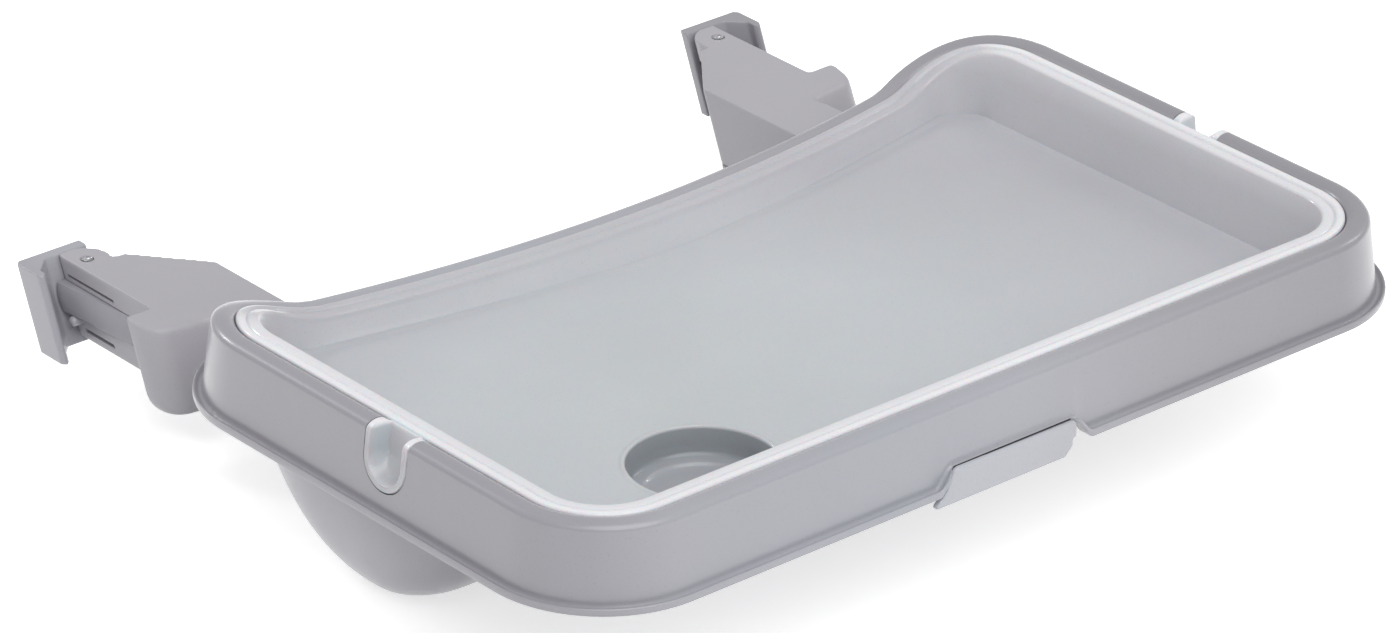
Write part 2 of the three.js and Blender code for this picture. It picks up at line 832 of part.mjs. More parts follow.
function boltRight() {
  return joined([
    block(boltInnerX, armInnerX + boltBite, boltY - boltHalf, boltY + boltHalf, boltBottomZ, boltTopZ),
    rod(pegRadius, pegX, boltY, boltTopZ - gap, tabStripZ + tabStrip + pegStand, smallSides),
  ]);
}

// Arms

// The nose is seen along the pin: its Y is measured square to the pin, from the pin.
function turned(x, y, angle) {
  return [x * Math.cos(angle) - y * Math.sin(angle), x * Math.sin(angle) + y * Math.cos(angle)];
}

// The clip plate's inner end in its fully swung place, set off by the gap: its front corner and direction.
function sweptEnd() {
  const corner = turned(clipInnerX - pinX - gap, swingRadius, clipSwing);
  return { corner, direction: turned(0, 1, clipSwing) };
}

// Where the arm's inner edge meets the swung plate's end.
function kneeOffset() {
  const { corner, direction } = sweptEnd();
  const kneeX = armInnerX - pinX;
  const kneeY = (bendY - pinY) * Math.cos(lean);
  const edgeShare = ((tipTurnY - bendY) * Math.cos(lean)) / (tipInnerX - armInnerX);
  const endShare = direction[1] / direction[0];
  const x = (corner[1] - kneeY + edgeShare * kneeX - endShare * corner[0]) / (edgeShare - endShare);
  return [x, kneeY + edgeShare * (x - kneeX)];
}

function atNose([x, y]) {
  return [pinX + x, pinY + y / Math.cos(lean)];
}

function kneePoint() {
  return atNose(kneeOffset());
}

function nosePoints() {
  const { corner } = sweptEnd();
  const from = Math.acos((pinX - armOuterX) / -noseRadius);
  const to = Math.atan2(corner[1], corner[0]) + 2 * Math.PI;
  const points = [];
  for (let i = 0; i <= cornerSteps * 2; i += 1) {
    const angle = from + ((to - from) * i) / (cornerSteps * 2);
    points.push(atNose([noseRadius * Math.cos(angle), noseRadius * Math.sin(angle)]));
  }
  return [...points, atNose(corner)];
}

function armPoints() {
  return [
    [armInnerX, armFrontY],
    [armFrontOuterX, armFrontY],
    [armFrontOuterX, knobFrontY],
    [armOuterX, knobFrontY],
    ...nosePoints(),
    kneePoint(),
    [armInnerX, bendY],
  ];
}

function knobPoints() {
  const reachX = armOuterX + knobReach;
  return [
    [armOuterX - armWall, knobFrontY - knobBlend / 2],
    [armOuterX, knobFrontY + knobBlend - knobDipY],
    [armOuterX + knobDipX, knobFrontY - knobDipY],
    [armOuterX + knobDipX + knobBlend, knobFrontY - knobBlend / 2],
    [armOuterX + knobRoundX, knobRearY - knobRoundY],
    [reachX, knobRearY - knobRoundY / 2],
    [reachX, knobRearY - knobRearLean],
    [armOuterX - armWall, knobRearY],
  ];
}

function hollowPoints() {
  const inner = armInnerX + armWall;
  const front = armFrontOuterX - armWall;
  const outer = armOuterX - armWall;
  const knee = kneePoint();
  const slant = (hollowRearY - bendY) / (knee[1] - bendY);
  const diagonalX = armInnerX + (knee[0] - armInnerX) * slant;
  return [
    [inner, armFrontY + armWall],
    [front, armFrontY + armWall],
    [front, knobFrontY + armWall],
    [outer, knobFrontY + armWall],
    [outer, hollowRearY],
    [diagonalX + armWall + armWall / 2, hollowRearY],
    [inner, bendY - armWall / 2],
  ];
}

function armRight() {
  const outside = leaning(armPoints(), armBottomZ, armTopZ);
  const knobShape = leaning(knobPoints(), armTopZ - knobHeight + knobChamfer, armTopZ);
  const knobFoot = leaning([
    [armOuterX, knobFootY], [knobFootOuterX, knobFootY], [knobFootOuterX, knobRearY - knobRearLean],
    [armOuterX, knobRearY - knobRearLean],
  ], armTopZ - knobHeight, armTopZ - knobHeight + knobChamfer + gap);
  const hollow = leaning(hollowPoints(), armBottomZ - overrun, armCeilingZ);
  const slotHalf = railStemHalf + gap;
  const slot = block(railX - slotHalf, railX + slotHalf, armFrontY - overrun, railSlotRearY,
    armCeilingZ - gap, armTopZ + overrun);
  const rearGap = leaning([
    [armInnerX, hollowRearY - gap], [armOuterX + overrun, hollowRearY - gap],
    [armOuterX + overrun, clipPlateY + overrun], [armInnerX, clipPlateY + overrun],
  ], windowBottomZ, windowTopZ);
  const window = leaning([
    [armOuterX - 2 * armWall, windowFrontY], [armOuterX + overrun, windowFrontY],
    [armOuterX + overrun, hollowRearY + armWall], [armOuterX - 2 * armWall, hollowRearY + armWall],
  ], windowBottomZ, windowTopZ);
  const ledgeOuter = armOuterX - ledgeInset;
  const ledge = leaning([
    [armOuterX - stopSeat, windowFrontY - gap], [ledgeOuter, windowFrontY - gap],
    [ledgeOuter, ledgeRearY], [armOuterX - stopSeat, ledgeRearY],
  ], windowBottomZ - gap, windowBottomZ + ledgeHeight);
  const slit = (top, y0, y1) => leaning([
    [armOuterX - slitDepth, y0], [armOuterX + overrun, y0],
    [armOuterX + overrun, y1], [armOuterX - slitDepth, y1],
  ], armTopZ - top - slitHeight, armTopZ - top);
  const bossTopZ = armBottomZ + coverBossDepth;
  const bossBlocks = [coverBossFrontY, coverBossRearY].map((y) => (
    block(armInnerX + armWall / 2, coverBossX + coverBossHalf, y - coverBossHalf, y + coverBossHalf,
      armBottomZ, bossTopZ)));
  const bossHoles = [coverBossFrontY, coverBossRearY].map((y) => (
    screwHole(coverBossX, y, armBottomZ - overrun, bossTopZ - armWall / 2)));
  const boltReach = slideTravel + boltHalf + gap;
  const boltSlot = block(armInnerX - overrun, armInnerX + armWall + overrun, boltY - boltReach,
    boltY + boltReach, boltBottomZ - gap, boltTopZ + gap);
  const crossHoles = [-crossbarScrewY, crossbarScrewY].map((dy) => rodAlongX(screwShank + screwPlay,
    armInnerX - overrun, armInnerX + armWall + overrun, boltY + dy, crossScrewZ, smallSides));
  const depth = armHeight / Math.cos(lean);
  const pinHole = pinRod(pinRadius + gap, -overrun, depth + overrun, smallSides);
  const sink = pinRod(pinHeadRadius + gap, -overrun, pinHeadHeight + gap - pinHeadStand, smallSides);
  const pegHole = rodAlongX(stopRadius + gap, armOuterX - stopSeat - overrun, armOuterX + overrun,
    stopPlaceY(), stopZ, smallSides);
  return joined([outside, knobShape, knobFoot])
    .subtract(joined([hollow, slot, rearGap, window]))
    .add(joined([ledge.subtract(pegHole), ...bossBlocks]))
    .subtract(joined([
      slit(upperSlitTop, upperSlitFrontY, upperSlitRearY),
      slit(lowerSlitTop, lowerSlitFrontY, lowerSlitRearY),
      pinHole, sink, boltSlot, ...bossHoles, ...crossHoles,
    ]));
}

function stopPlaceY() {
  return ledgeRearY + (stopZ - armTopZ) * Math.tan(lean);
}

function stopPegRight() {
  return rodAlongX(stopRadius, armOuterX - stopSeat, armOuterX + gap, stopPlaceY(), stopZ, smallSides);
}

function clipPinRight() {
  const depth = armHeight / Math.cos(lean);
  return joined([
    pinRod(pinHeadRadius, -pinHeadStand, pinHeadHeight - pinHeadStand, smallSides),
    pinRod(pinRadius, 0, depth - gap, smallSides),
  ]);
}

function armCoverRight() {
  const rearY = hollowRearY - armWall;
  const knee = kneePoint();
  const slant = (rearY - bendY) / (knee[1] - bendY);
  const plate = leaning([
    [armInnerX, armFrontY], [armFrontOuterX, armFrontY], [armFrontOuterX, knobFrontY + armWall],
    [armOuterX, knobFrontY + armWall], [armOuterX, rearY],
    [armInnerX + (knee[0] - armInnerX) * slant, rearY], [armInnerX, bendY],
  ], coverBottomZ, coverTopZ);
  const knobRoom = leaning(knobPoints(), coverBottomZ - overrun, coverTopZ + overrun);
  const ribInner = barFrontInnerX - gap;
  const rib = (y, topZ) => block(ribInner, barFrontOuterX, y - coverRib / 2, y + coverRib / 2,
    coverTopZ - gap, topZ);
  const slotEnd = gripTongueY + gripTongueLength + gap;
  const slot = block(barFrontInnerX - gap, barFrontOuterX + gap, gripTongueY - gripStroke - gap, slotEnd,
    coverBottomZ - overrun, coverTopZ + overrun);
  const holes = [coverBossFrontY, coverBossRearY].map((y) => (
    screwHole(coverBossX, y, coverBottomZ - overrun, coverTopZ + overrun)));
  return joined([
    plate.subtract(knobRoom),
    rib(ribFrontY, barBottomZ - gap), rib(ribRearY, barBottomZ - gap), rib(seatRibY, barTopZ),
  ]).subtract(joined([slot, ...holes]));
}

function coverScrews() {
  const screws = [];
  const tipZ = armBottomZ + coverBossDepth - armWall / 2 - gap;
  for (const side of [-1, 1]) {
    for (const y of [coverBossFrontY, coverBossRearY]) {
      screws.push(screw(side * coverBossX, y, coverBottomZ - gap, tipZ));
    }
  }
  return screws;
}

function crossbar() {
  const reach = armInnerX - gap;
  const bar = block(-reach, reach, boltY - crossbarHalf, boltY + crossbarHalf,
    crossbarTopZ - crossbarThickness, crossbarTopZ);
  const holes = [];
  for (const side of [-1, 1]) {
    for (const dy of [-crossbarScrewY, crossbarScrewY]) {
      const x = side * (reach - bossBite * 2);
      holes.push(rodAlongX(screwShank + screwPlay, Math.min(x, side * (reach + overrun)),
        Math.max(x, side * (reach + overrun)), boltY + dy, crossScrewZ, smallSides));
    }
  }
  return bar.subtract(joined(holes));
}

function crossbarScrews() {
  const screws = [];
  const headX = armInnerX + armWall + gap;
  const tipX = armInnerX - gap - bossBite * 2 + gap;
  for (const dy of [-crossbarScrewY, crossbarScrewY]) {
    const right = joined([
      rodAlongX(screwHead, headX, headX + screwHeadHeight, boltY + dy, crossScrewZ, smallSides),
      rodAlongX(screwShank, tipX, headX + gap, boltY + dy, crossScrewZ, smallSides),
    ]);
    screws.push(right, toSolid(mirrored(toGeometry(right))));
  }
  return screws;
}

// Draw bars, grips and springs

function drawBarRight() {
  const rear = [];
  for (let i = 0; i <= cornerSteps; i += 1) {
    const x = barOuterX + ((barInnerX - barOuterX) * i) / cornerSteps;
    const reach = knuckleRadius + gap * 2;
    const across = Math.min(Math.abs(x - pinX), reach);
    rear.push([x, pinY - Math.sqrt(reach * reach - across * across) / Math.cos(lean) - gap]);
  }
  return leaning([
    [barFrontInnerX, barFrontY], [barFrontOuterX, barFrontY], [barFrontOuterX, barJogFrontY],
    [barOuterX, barJogRearY], ...rear, [barInnerX, barJogRearY + armWall],
    [barFrontInnerX, barJogFrontY + armWall],
  ], barBottomZ, barTopZ);
}

function gripRight() {
  const rings = [];
  const midY = (gripFrontY + gripRearY) / 2;
  const midX = (gripInnerX + gripOuterX) / 2;
  for (let r = 0; r <= gripRings; r += 1) {
    const depthShare = Math.sin(((r / gripRings) * Math.PI) / 2);
    const swell = Math.max((1 - depthShare ** gripPowerShare) ** (1 / gripPowerShare), gap / gripDepth);
    const outer = midX + (gripOuterX - midX) * swell;
    const front = midY - (midY - gripFrontY) * swell;
    const rear = midY + (gripRearY - midY) * swell - gripRake * depthShare;
    const ring = [];
    for (let i = 0; i < gripSides; i += 1) {
      const angle = (i / gripSides) * 2 * Math.PI;
      const c = Math.cos(angle);
      const s = Math.sin(angle);
      const x = Math.sign(c) * Math.abs(c) ** (2 / gripPlanShare);
      const y = Math.sign(s) * Math.abs(s) ** (2 / gripPlanShare);
      ring.push([(outer + gripInnerX) / 2 + (x * (outer - gripInnerX)) / 2,
        (rear + front) / 2 + (y * (rear - front)) / 2, gripTopZ - gripDepth * depthShare]);
    }
    rings.push(ring);
  }
  const armRoom = block(gripInnerX - overrun, armFrontOuterX + gap, gripFrontY - overrun,
    gripRearY + overrun, coverBottomZ - screwHeadHeight - gap * 2, 0);
  const tongueStem = block(barFrontInnerX, barFrontOuterX, gripTongueY, gripTongueY + gripTongueLength,
    coverBottomZ - screwHeadHeight - overrun / 2, barBottomZ - gap);
  return lofted(rings).subtract(armRoom).add(tongueStem);
}

function gripSpringRight() {
  const z = (barTopZ + barBottomZ) / 2;
  const x = (barFrontInnerX + barFrontOuterX) / 2;
  const barFront = barFrontY + (z - gripSpringRadius - armTopZ) * Math.tan(lean);
  return springAlongY(gripSpringRadius, x, seatRibY + coverRib / 2 + gap, barFront - gap, z);
}

// Clips

function clipRight() {
  const innerCorner = clipPlateY + clipPlate;
  const body = leaning([
    [clipInnerX, clipPlateY], [clipOuterX - clipLip - clipWeb, clipPlateY],
    [clipOuterX - clipLip, clipPlateY - clipWeb], [clipOuterX - clipLip, clipLipY + clipCorner],
    [clipOuterX - clipLip + clipCorner, clipLipY], [clipOuterX - clipCorner, clipLipY],
    [clipOuterX, clipLipY + clipCorner], [clipOuterX, innerCorner - clipCorner],
    [clipOuterX - clipCorner, innerCorner], [clipInnerX, innerCorner],
  ], armTopZ - clipHeight, armTopZ);
  const top = knuckleTop / Math.cos(lean);
  const bottom = (knuckleTop + knuckleHeight) / Math.cos(lean);
  const reach = swingRadius + clipPlate / 2;
  const neckOutline = [[-neckHalf, 0], [neckHalf, 0], [neckHalf, reach], [-neckHalf, reach]];
  const neck = alongPin(neckOutline, top, bottom);
  const barrel = pinRod(knuckleRadius, top, bottom, smallSides);
  const bore = pinRod(pinRadius + gap, top - overrun, bottom + overrun, smallSides);
  return joined([body, neck, barrel]).subtract(bore);
}

function clipSpringRight() {
  const top = (knuckleTop + knuckleHeight) / Math.cos(lean) + gap;
  return pinRod(coilRadius, top, top + coilHeight, smallSides)
    .subtract(pinRod(pinRadius + gap, top - overrun, top + coilHeight + overrun, smallSides));
}

// Scene graph

const paint = {
  shell: { color: 0x8b8c8d, roughness: 0.5, metalness: 0 },
  clear: { color: 0xc9cdcc, roughness: 0.3, metalness: 0 },
  inner: { color: 0x6f7173, roughness: 0.6, metalness: 0 },
  steel: { color: 0xb8bbbd, roughness: 0.3, metalness: 1 },
};

const tray = new THREE.Group();

function place(parent, name, geometry, look) {
  const mesh = new THREE.Mesh(geometry, new THREE.MeshStandardMaterial(look));
  mesh.name = name;
  parent.add(mesh);
}

function placePair(parent, name, solid, look) {
  const geometry = toGeometry(solid);
  place(parent, `right_${name}`, geometry, look);
  place(parent, `left_${name}`, mirrored(geometry), look);
}

// Each copy of a repeated piece has a number of its own.
function placeAll(parent, name, solids, look) {
  solids.forEach((solid, i) => place(parent, `${name}_${i + 1}`, toGeometry(solid), look));
}

const panGroup = new THREE.Group();
const carrierGroup = new THREE.Group();
place(panGroup, 'tray_base', toGeometry(trayBase()), paint.shell);
place(panGroup, 'insert_tray', toGeometry(insertTray()), paint.clear);
placePair(panGroup, 'rail', railRight(), paint.inner);
placeAll(panGroup, 'rail_screw', railScrews(), paint.steel);
placePair(panGroup, 'bolt_guide', boltGuideRight(), paint.inner);
place(panGroup, 'tab_guide', toGeometry(tabGuide()), paint.inner);
placeAll(panGroup, 'guide_screw', guideScrews(), paint.steel);
place(panGroup, 'pull_tab', toGeometry(pullTab()), paint.shell);
place(panGroup, 'tab_spring', toGeometry(tabSpring()), paint.steel);
placePair(panGroup, 'bolt', boltRight(), paint.inner);
placePair(carrierGroup, 'arm', armRight(), paint.shell);
placePair(carrierGroup, 'arm_cover', armCoverRight(), paint.shell);
placePair(carrierGroup, 'clip_pin', clipPinRight(), paint.steel);
placePair(carrierGroup, 'stop_peg', stopPegRight(), paint.shell);
place(carrierGroup, 'crossbar', toGeometry(crossbar()), paint.inner);
placeAll(carrierGroup, 'crossbar_screw', crossbarScrews(), paint.steel);
placeAll(carrierGroup, 'cover_screw', coverScrews(), paint.steel);
placePair(carrierGroup, 'draw_bar', drawBarRight(), paint.inner);
placePair(carrierGroup, 'grip', gripRight(), paint.shell);
placePair(carrierGroup, 'grip_spring', gripSpringRight(), paint.steel);
placePair(carrierGroup, 'clip', clipRight(), paint.shell);
placePair(carrierGroup, 'clip_spring', clipSpringRight(), paint.steel);
tray.add(panGroup, carrierGroup);

// The frame's origin lies midway between the two post pockets.
const postMidZ = armTopZ - armHeight / 2;
const postMidY = (knobRearY + clipPlateY) / 2 + (postMidZ - armTopZ) * Math.tan(lean);
panGroup.position.set(0, -postMidY, -postMidZ);
carrierGroup.position.set(0, -postMidY, -postMidZ);

export default tray;
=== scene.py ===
# High chair tray: fine surfaces, materials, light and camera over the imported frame.
import json
import math

import bmesh
import bpy
import numpy as np
from mathutils import Matrix, Vector

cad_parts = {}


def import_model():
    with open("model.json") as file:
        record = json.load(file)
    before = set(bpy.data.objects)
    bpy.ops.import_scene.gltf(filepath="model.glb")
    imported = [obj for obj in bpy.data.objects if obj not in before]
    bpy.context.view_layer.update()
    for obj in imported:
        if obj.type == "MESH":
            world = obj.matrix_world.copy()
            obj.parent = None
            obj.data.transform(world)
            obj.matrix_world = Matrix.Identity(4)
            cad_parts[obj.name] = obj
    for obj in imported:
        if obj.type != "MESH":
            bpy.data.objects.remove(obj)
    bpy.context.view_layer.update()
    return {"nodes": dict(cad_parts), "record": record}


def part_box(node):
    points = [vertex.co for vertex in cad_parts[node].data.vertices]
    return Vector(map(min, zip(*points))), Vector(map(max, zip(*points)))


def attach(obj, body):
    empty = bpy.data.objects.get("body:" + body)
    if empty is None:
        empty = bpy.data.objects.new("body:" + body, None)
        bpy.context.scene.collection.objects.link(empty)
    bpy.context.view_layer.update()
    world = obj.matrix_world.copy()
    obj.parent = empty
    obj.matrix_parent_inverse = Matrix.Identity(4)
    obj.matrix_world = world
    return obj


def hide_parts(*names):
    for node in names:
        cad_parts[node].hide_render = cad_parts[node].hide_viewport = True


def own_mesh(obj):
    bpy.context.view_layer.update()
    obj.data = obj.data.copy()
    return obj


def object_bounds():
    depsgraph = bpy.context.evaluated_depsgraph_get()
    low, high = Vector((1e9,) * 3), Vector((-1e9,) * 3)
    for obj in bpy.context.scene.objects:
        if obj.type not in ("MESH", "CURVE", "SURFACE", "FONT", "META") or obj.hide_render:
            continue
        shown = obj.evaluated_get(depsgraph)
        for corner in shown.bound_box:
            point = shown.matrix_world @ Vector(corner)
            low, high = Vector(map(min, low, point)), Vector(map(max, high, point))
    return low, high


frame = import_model()
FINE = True

# The design frame of the part, in millimetres: z = 0 is the insert's rim, y = 0 its front edge.
DY, DZ = -352.246, 56.5
LEAN = math.radians(23)
ARM_TOP = -40.0


def world(p):
    return Vector((p[0] / 1000, (p[1] + DY) / 1000, (p[2] + DZ) / 1000))


# Camera at the photograph's viewing angle
AZIMUTH, ELEVATION, ROLL = 40.86, 26.91, 0.52
AIM, DISTANCE = (-63.36, 112.85, 0), 2.8584
FOCAL_PIXELS, PHOTO_WIDTH, SENSOR = 7037.5, 1400, 36


def add_camera():
    az, el, roll = (math.radians(a) for a in (AZIMUTH, ELEVATION, ROLL))
    back = Vector((-math.sin(az) * math.cos(el), -math.cos(az) * math.cos(el), math.sin(el)))
    right = (-back).cross(Vector((0, 0, 1))).normalized()
    up = right.cross(-back)
    across = right * math.cos(roll) + up * math.sin(roll)
    upright = -right * math.sin(roll) + up * math.cos(roll)
    data = bpy.data.cameras.new("camera")
    data.sensor_width = SENSOR
    data.lens = FOCAL_PIXELS / PHOTO_WIDTH * SENSOR
    data.clip_end = 50
    cam = bpy.data.objects.new("camera", data)
    rot = Matrix((across, upright, back)).transposed()
    cam.matrix_world = Matrix.Translation(world(AIM) + back * DISTANCE) @ rot.to_4x4()
    bpy.context.scene.collection.objects.link(cam)
    bpy.context.scene.camera = cam


add_camera()


# Materials
MIX_A, MIX_B, MIX_RESULT = 6, 7, 2  # a Mix node's colour sockets
PLASTIC_IOR = 1.49
FLOW_SCALE, SPECK_SCALE, WEAR_SCALE, TURNING_SCALE = 9.0, 1400.0, 60.0, 900.0
SHELL_GRAIN, INNER_GRAIN, INSERT_GRAIN = 2600.0, 2200.0, 3000.0


def new_material(name):
    mat = bpy.data.materials.new(name)
    mat.use_nodes = True
    tree = mat.node_tree
    return mat, tree, tree.nodes["Principled BSDF"]


def add(tree, kind, **inputs):
    node = tree.nodes.new(kind)
    for key, value in inputs.items():
        node.inputs[key.replace("_", " ")].default_value = value
    return node


def noise(tree, coord, scale, detail, roughness=0.5):
    node = add(tree, "ShaderNodeTexNoise", Scale=scale, Detail=detail, Roughness=roughness)
    tree.links.new(coord.outputs["Object"], node.inputs["Vector"])
    return node.outputs["Fac"]


def ramp(tree, value, stops):
    """A colour ramp over a value."""
    node = tree.nodes.new("ShaderNodeValToRGB")
    marks = node.color_ramp.elements
    while len(marks) < len(stops):
        marks.new(0.5)
    for mark, (place, colour) in zip(marks, stops):
        mark.position = place
        mark.color = (*colour, 1)
    tree.links.new(value, node.inputs["Fac"])
    return node.outputs["Color"]


def span(tree, value, source=(0.0, 1.0), target=(0.0, 1.0)):
    """A value mapped from one range to another."""
    node = tree.nodes.new("ShaderNodeMapRange")
    for key, number in zip(("From Min", "From Max", "To Min", "To Max"), (*source, *target)):
        node.inputs[key].default_value = number
    tree.links.new(value, node.inputs["Value"])
    return node.outputs["Result"]


def multiply(tree, first, second):
    node = tree.nodes.new("ShaderNodeMix")
    node.data_type = "RGBA"
    node.blend_type = "MULTIPLY"
    node.inputs["Factor"].default_value = 1.0
    tree.links.new(first, node.inputs[MIX_A])
    tree.links.new(second, node.inputs[MIX_B])
    return node.outputs[MIX_RESULT]


def vector_math(tree, operation, first, second=None):
    node = tree.nodes.new("ShaderNodeVectorMath")
    node.operation = operation
    tree.links.new(first, node.inputs[0])
    if second is not None:
        node.inputs[1].default_value = second
    return node.outputs["Value" if operation == "LENGTH" else "Vector"]


def along(tree, coord, axis, low, high):
    """How far a point lies along an axis, from 0 at low to 1 at high, in metres."""
    parts = tree.nodes.new("ShaderNodeSeparateXYZ")
    tree.links.new(coord.outputs["Object"], parts.inputs["Vector"])
    return span(tree, parts.outputs[axis], (low, high))


def add_bumps(tree, bsdf, height, strength, distance):
    node = add(tree, "ShaderNodeBump", Strength=strength, Distance=distance)
    tree.links.new(height, node.inputs["Height"])
    tree.links.new(node.outputs["Normal"], bsdf.inputs["Normal"])


def add_coat(bsdf, weight, rough):
    bsdf.inputs["Coat Weight"].default_value = weight
    bsdf.inputs["Coat Roughness"].default_value = rough


def shade(colour, factor):
    return tuple(c * factor for c in colour)


def plastic(name, colour, rough=0.38, bumpy=0.1, grain=SHELL_GRAIN):
    """Moulded plastic with faint mottling, dust specks, a fine eroded grain and slightly uneven gloss."""
    mat, tree, bsdf = new_material(name)
    link = tree.links.new
    coord = tree.nodes.new("ShaderNodeTexCoord")
    flow = ramp(tree, noise(tree, coord, FLOW_SCALE, 4.0, 0.55),
                [(0.3, shade(colour, 0.965)), (0.7, shade(colour, 1.03))])
    specks = noise(tree, coord, SPECK_SCALE, 1.0)
    specks = ramp(tree, specks, [(0.28, (0.9, 0.9, 0.9)), (0.36, (1.0, 1.0, 1.0))])
    surface = multiply(tree, flow, specks)
    link(surface, bsdf.inputs["Base Color"])
    gloss = span(tree, noise(tree, coord, WEAR_SCALE, 3.0), target=(rough - 0.04, rough + 0.05))
    link(gloss, bsdf.inputs["Roughness"])
    add_bumps(tree, bsdf, noise(tree, coord, grain, 2.0), strength=bumpy, distance=0.0002)
    bsdf.inputs["IOR"].default_value = PLASTIC_IOR
    return mat, tree, bsdf, coord, surface


def shell_plastic(name, colour):
    """The pan's grey plastic: cooler from the left of the middle on, with painted shade darkening it towards
    both sides.
    """
    mat, tree, bsdf, coord, surface = plastic(name, colour)
    # Painted shade: the colour darkens towards the left and right ends along x, with a cooler tint in the
    # middle.
    cool_tint_and_side_shade = ramp(tree, along(tree, coord, "X", -0.23, 0.23), [
        (0.0, (0.78, 0.78, 0.79)), (0.035, (0.79, 0.79, 0.81)), (0.1, (0.92, 0.94, 0.96)),
        (0.35, (0.94, 0.99, 1.01)), (0.5, (0.94, 0.97, 0.99)), (0.65, (0.85, 0.86, 0.87)),
        (0.84, (0.77, 0.77, 0.78)), (1.0, (0.69, 0.69, 0.7))])
    tree.links.new(multiply(tree, surface, cool_tint_and_side_shade), bsdf.inputs["Base Color"])
    add_coat(bsdf, weight=0.7, rough=0.24)
    return mat


def insert_plastic():
    """Milky plastic: lighter towards the rim's top, greyer on the walls, painted shade darkening the cup's
    inside, cool in the floor's middle.
    """
    mat, tree, bsdf, coord, surface = plastic("insert_plastic", (1.0, 1.0, 1.0),
                                              rough=0.3, bumpy=0.04, grain=INSERT_GRAIN)
    # Colour by height: painted shade darkens the cup's walls below the floor, and the colour gets lighter up
    # to the rim's top.
    height_tone_and_cup_shade = ramp(tree, along(tree, coord, "Z", (-42 + DZ) / 1000, (2 + DZ) / 1000), [
        (0.0, (0.385, 0.38, 0.41)), (0.07, (0.385, 0.38, 0.41)), (0.1, (0.27, 0.275, 0.3)),
        (0.34, (0.32, 0.325, 0.35)), (0.36, (0.51, 0.51, 0.54)), (0.44, (0.53, 0.525, 0.555)),
        (0.75, (0.56, 0.553, 0.58)), (0.93, (0.66, 0.655, 0.68)), (0.965, (0.9, 0.895, 0.91))])
    offset = vector_math(tree, "SUBTRACT", coord.outputs["Object"], world((-75, 105, -26)))
    offset = vector_math(tree, "MULTIPLY", offset, (3.9, 6.0, 40.0))
    cool = ramp(tree, vector_math(tree, "LENGTH", offset),
                [(0.0, (1.06, 1.12, 1.09)), (0.5, (1.03, 1.08, 1.07)), (1.0, (0.9, 0.905, 0.92))])
    tree.links.new(multiply(tree, multiply(tree, height_tone_and_cup_shade, cool), surface), bsdf.inputs["Base Color"])
    bsdf.inputs["Subsurface Weight"].default_value = 0.3
    bsdf.inputs["Subsurface Scale"].default_value = 0.003
    add_coat(bsdf, weight=0.25, rough=0.08)
    return mat


def steel(name):
    """Bright plated steel with fine turning marks."""
    mat, tree, bsdf = new_material(name)
    link = tree.links.new
    marks = noise(tree, tree.nodes.new("ShaderNodeTexCoord"), TURNING_SCALE, 3.0)
    link(ramp(tree, marks, [(0.0, (0.6, 0.61, 0.62)), (1.0, (0.76, 0.77, 0.78))]), bsdf.inputs["Base Color"])
    link(span(tree, marks, target=(0.16, 0.32)), bsdf.inputs["Roughness"])
    add_bumps(tree, bsdf, marks, strength=0.15, distance=0.0001)
    bsdf.inputs["Metallic"].default_value = 1.0
    return mat


shell_mat = shell_plastic("shell_plastic", (0.417, 0.407, 0.44))
pale_mat = shell_plastic("pale_plastic", (0.515, 0.505, 0.54))
arm_mat, *_ = plastic("arm_plastic", (0.41, 0.4, 0.43))
# A darker copy of the plastic for the slide: painted shade where it sits deep in the arm's window.
slide_shaded_mat, *_ = plastic("slide_shaded_plastic", (0.33, 0.322, 0.355))
inner_mat, *_ = plastic("inner_plastic", (0.25, 0.247, 0.265), rough=0.5, bumpy=0.15, grain=INNER_GRAIN)
MATS = {"shell": shell_mat, "insert": insert_plastic(), "inner": inner_mat, "steel": steel("plated_steel")}


# Pan outlines, as in the part's source but finer
HALF, REAR, RISE, CURVE_HALF = 215.0, 228.0, 18.5, 168.0
CORNER = 36.0
FLOOR_SIDE, FLOOR_FRONT, FLOOR_REAR = 191.6, 14, 206
DIP, DIP_FLAT, DIP_END = 16.0, 156.0, 215.0
REAR_SLIM, REAR_DROP = 2.2, 1.7
NOTCH_Y, NOTCH_HALF, NOTCH_DEPTH, NOTCH_PLAY = 112.3, 13.2, 23.8, 0.3
CORNER_STEPS, REAR_CORNER_STEPS, REAR_STEPS = 20, 26, 26
FINE_FRONT, NOTCH_SPAN = 63, 20


def smooth(t):
    t = min(1.0, max(0.0, t))
    return t * t * (3 - 2 * t)


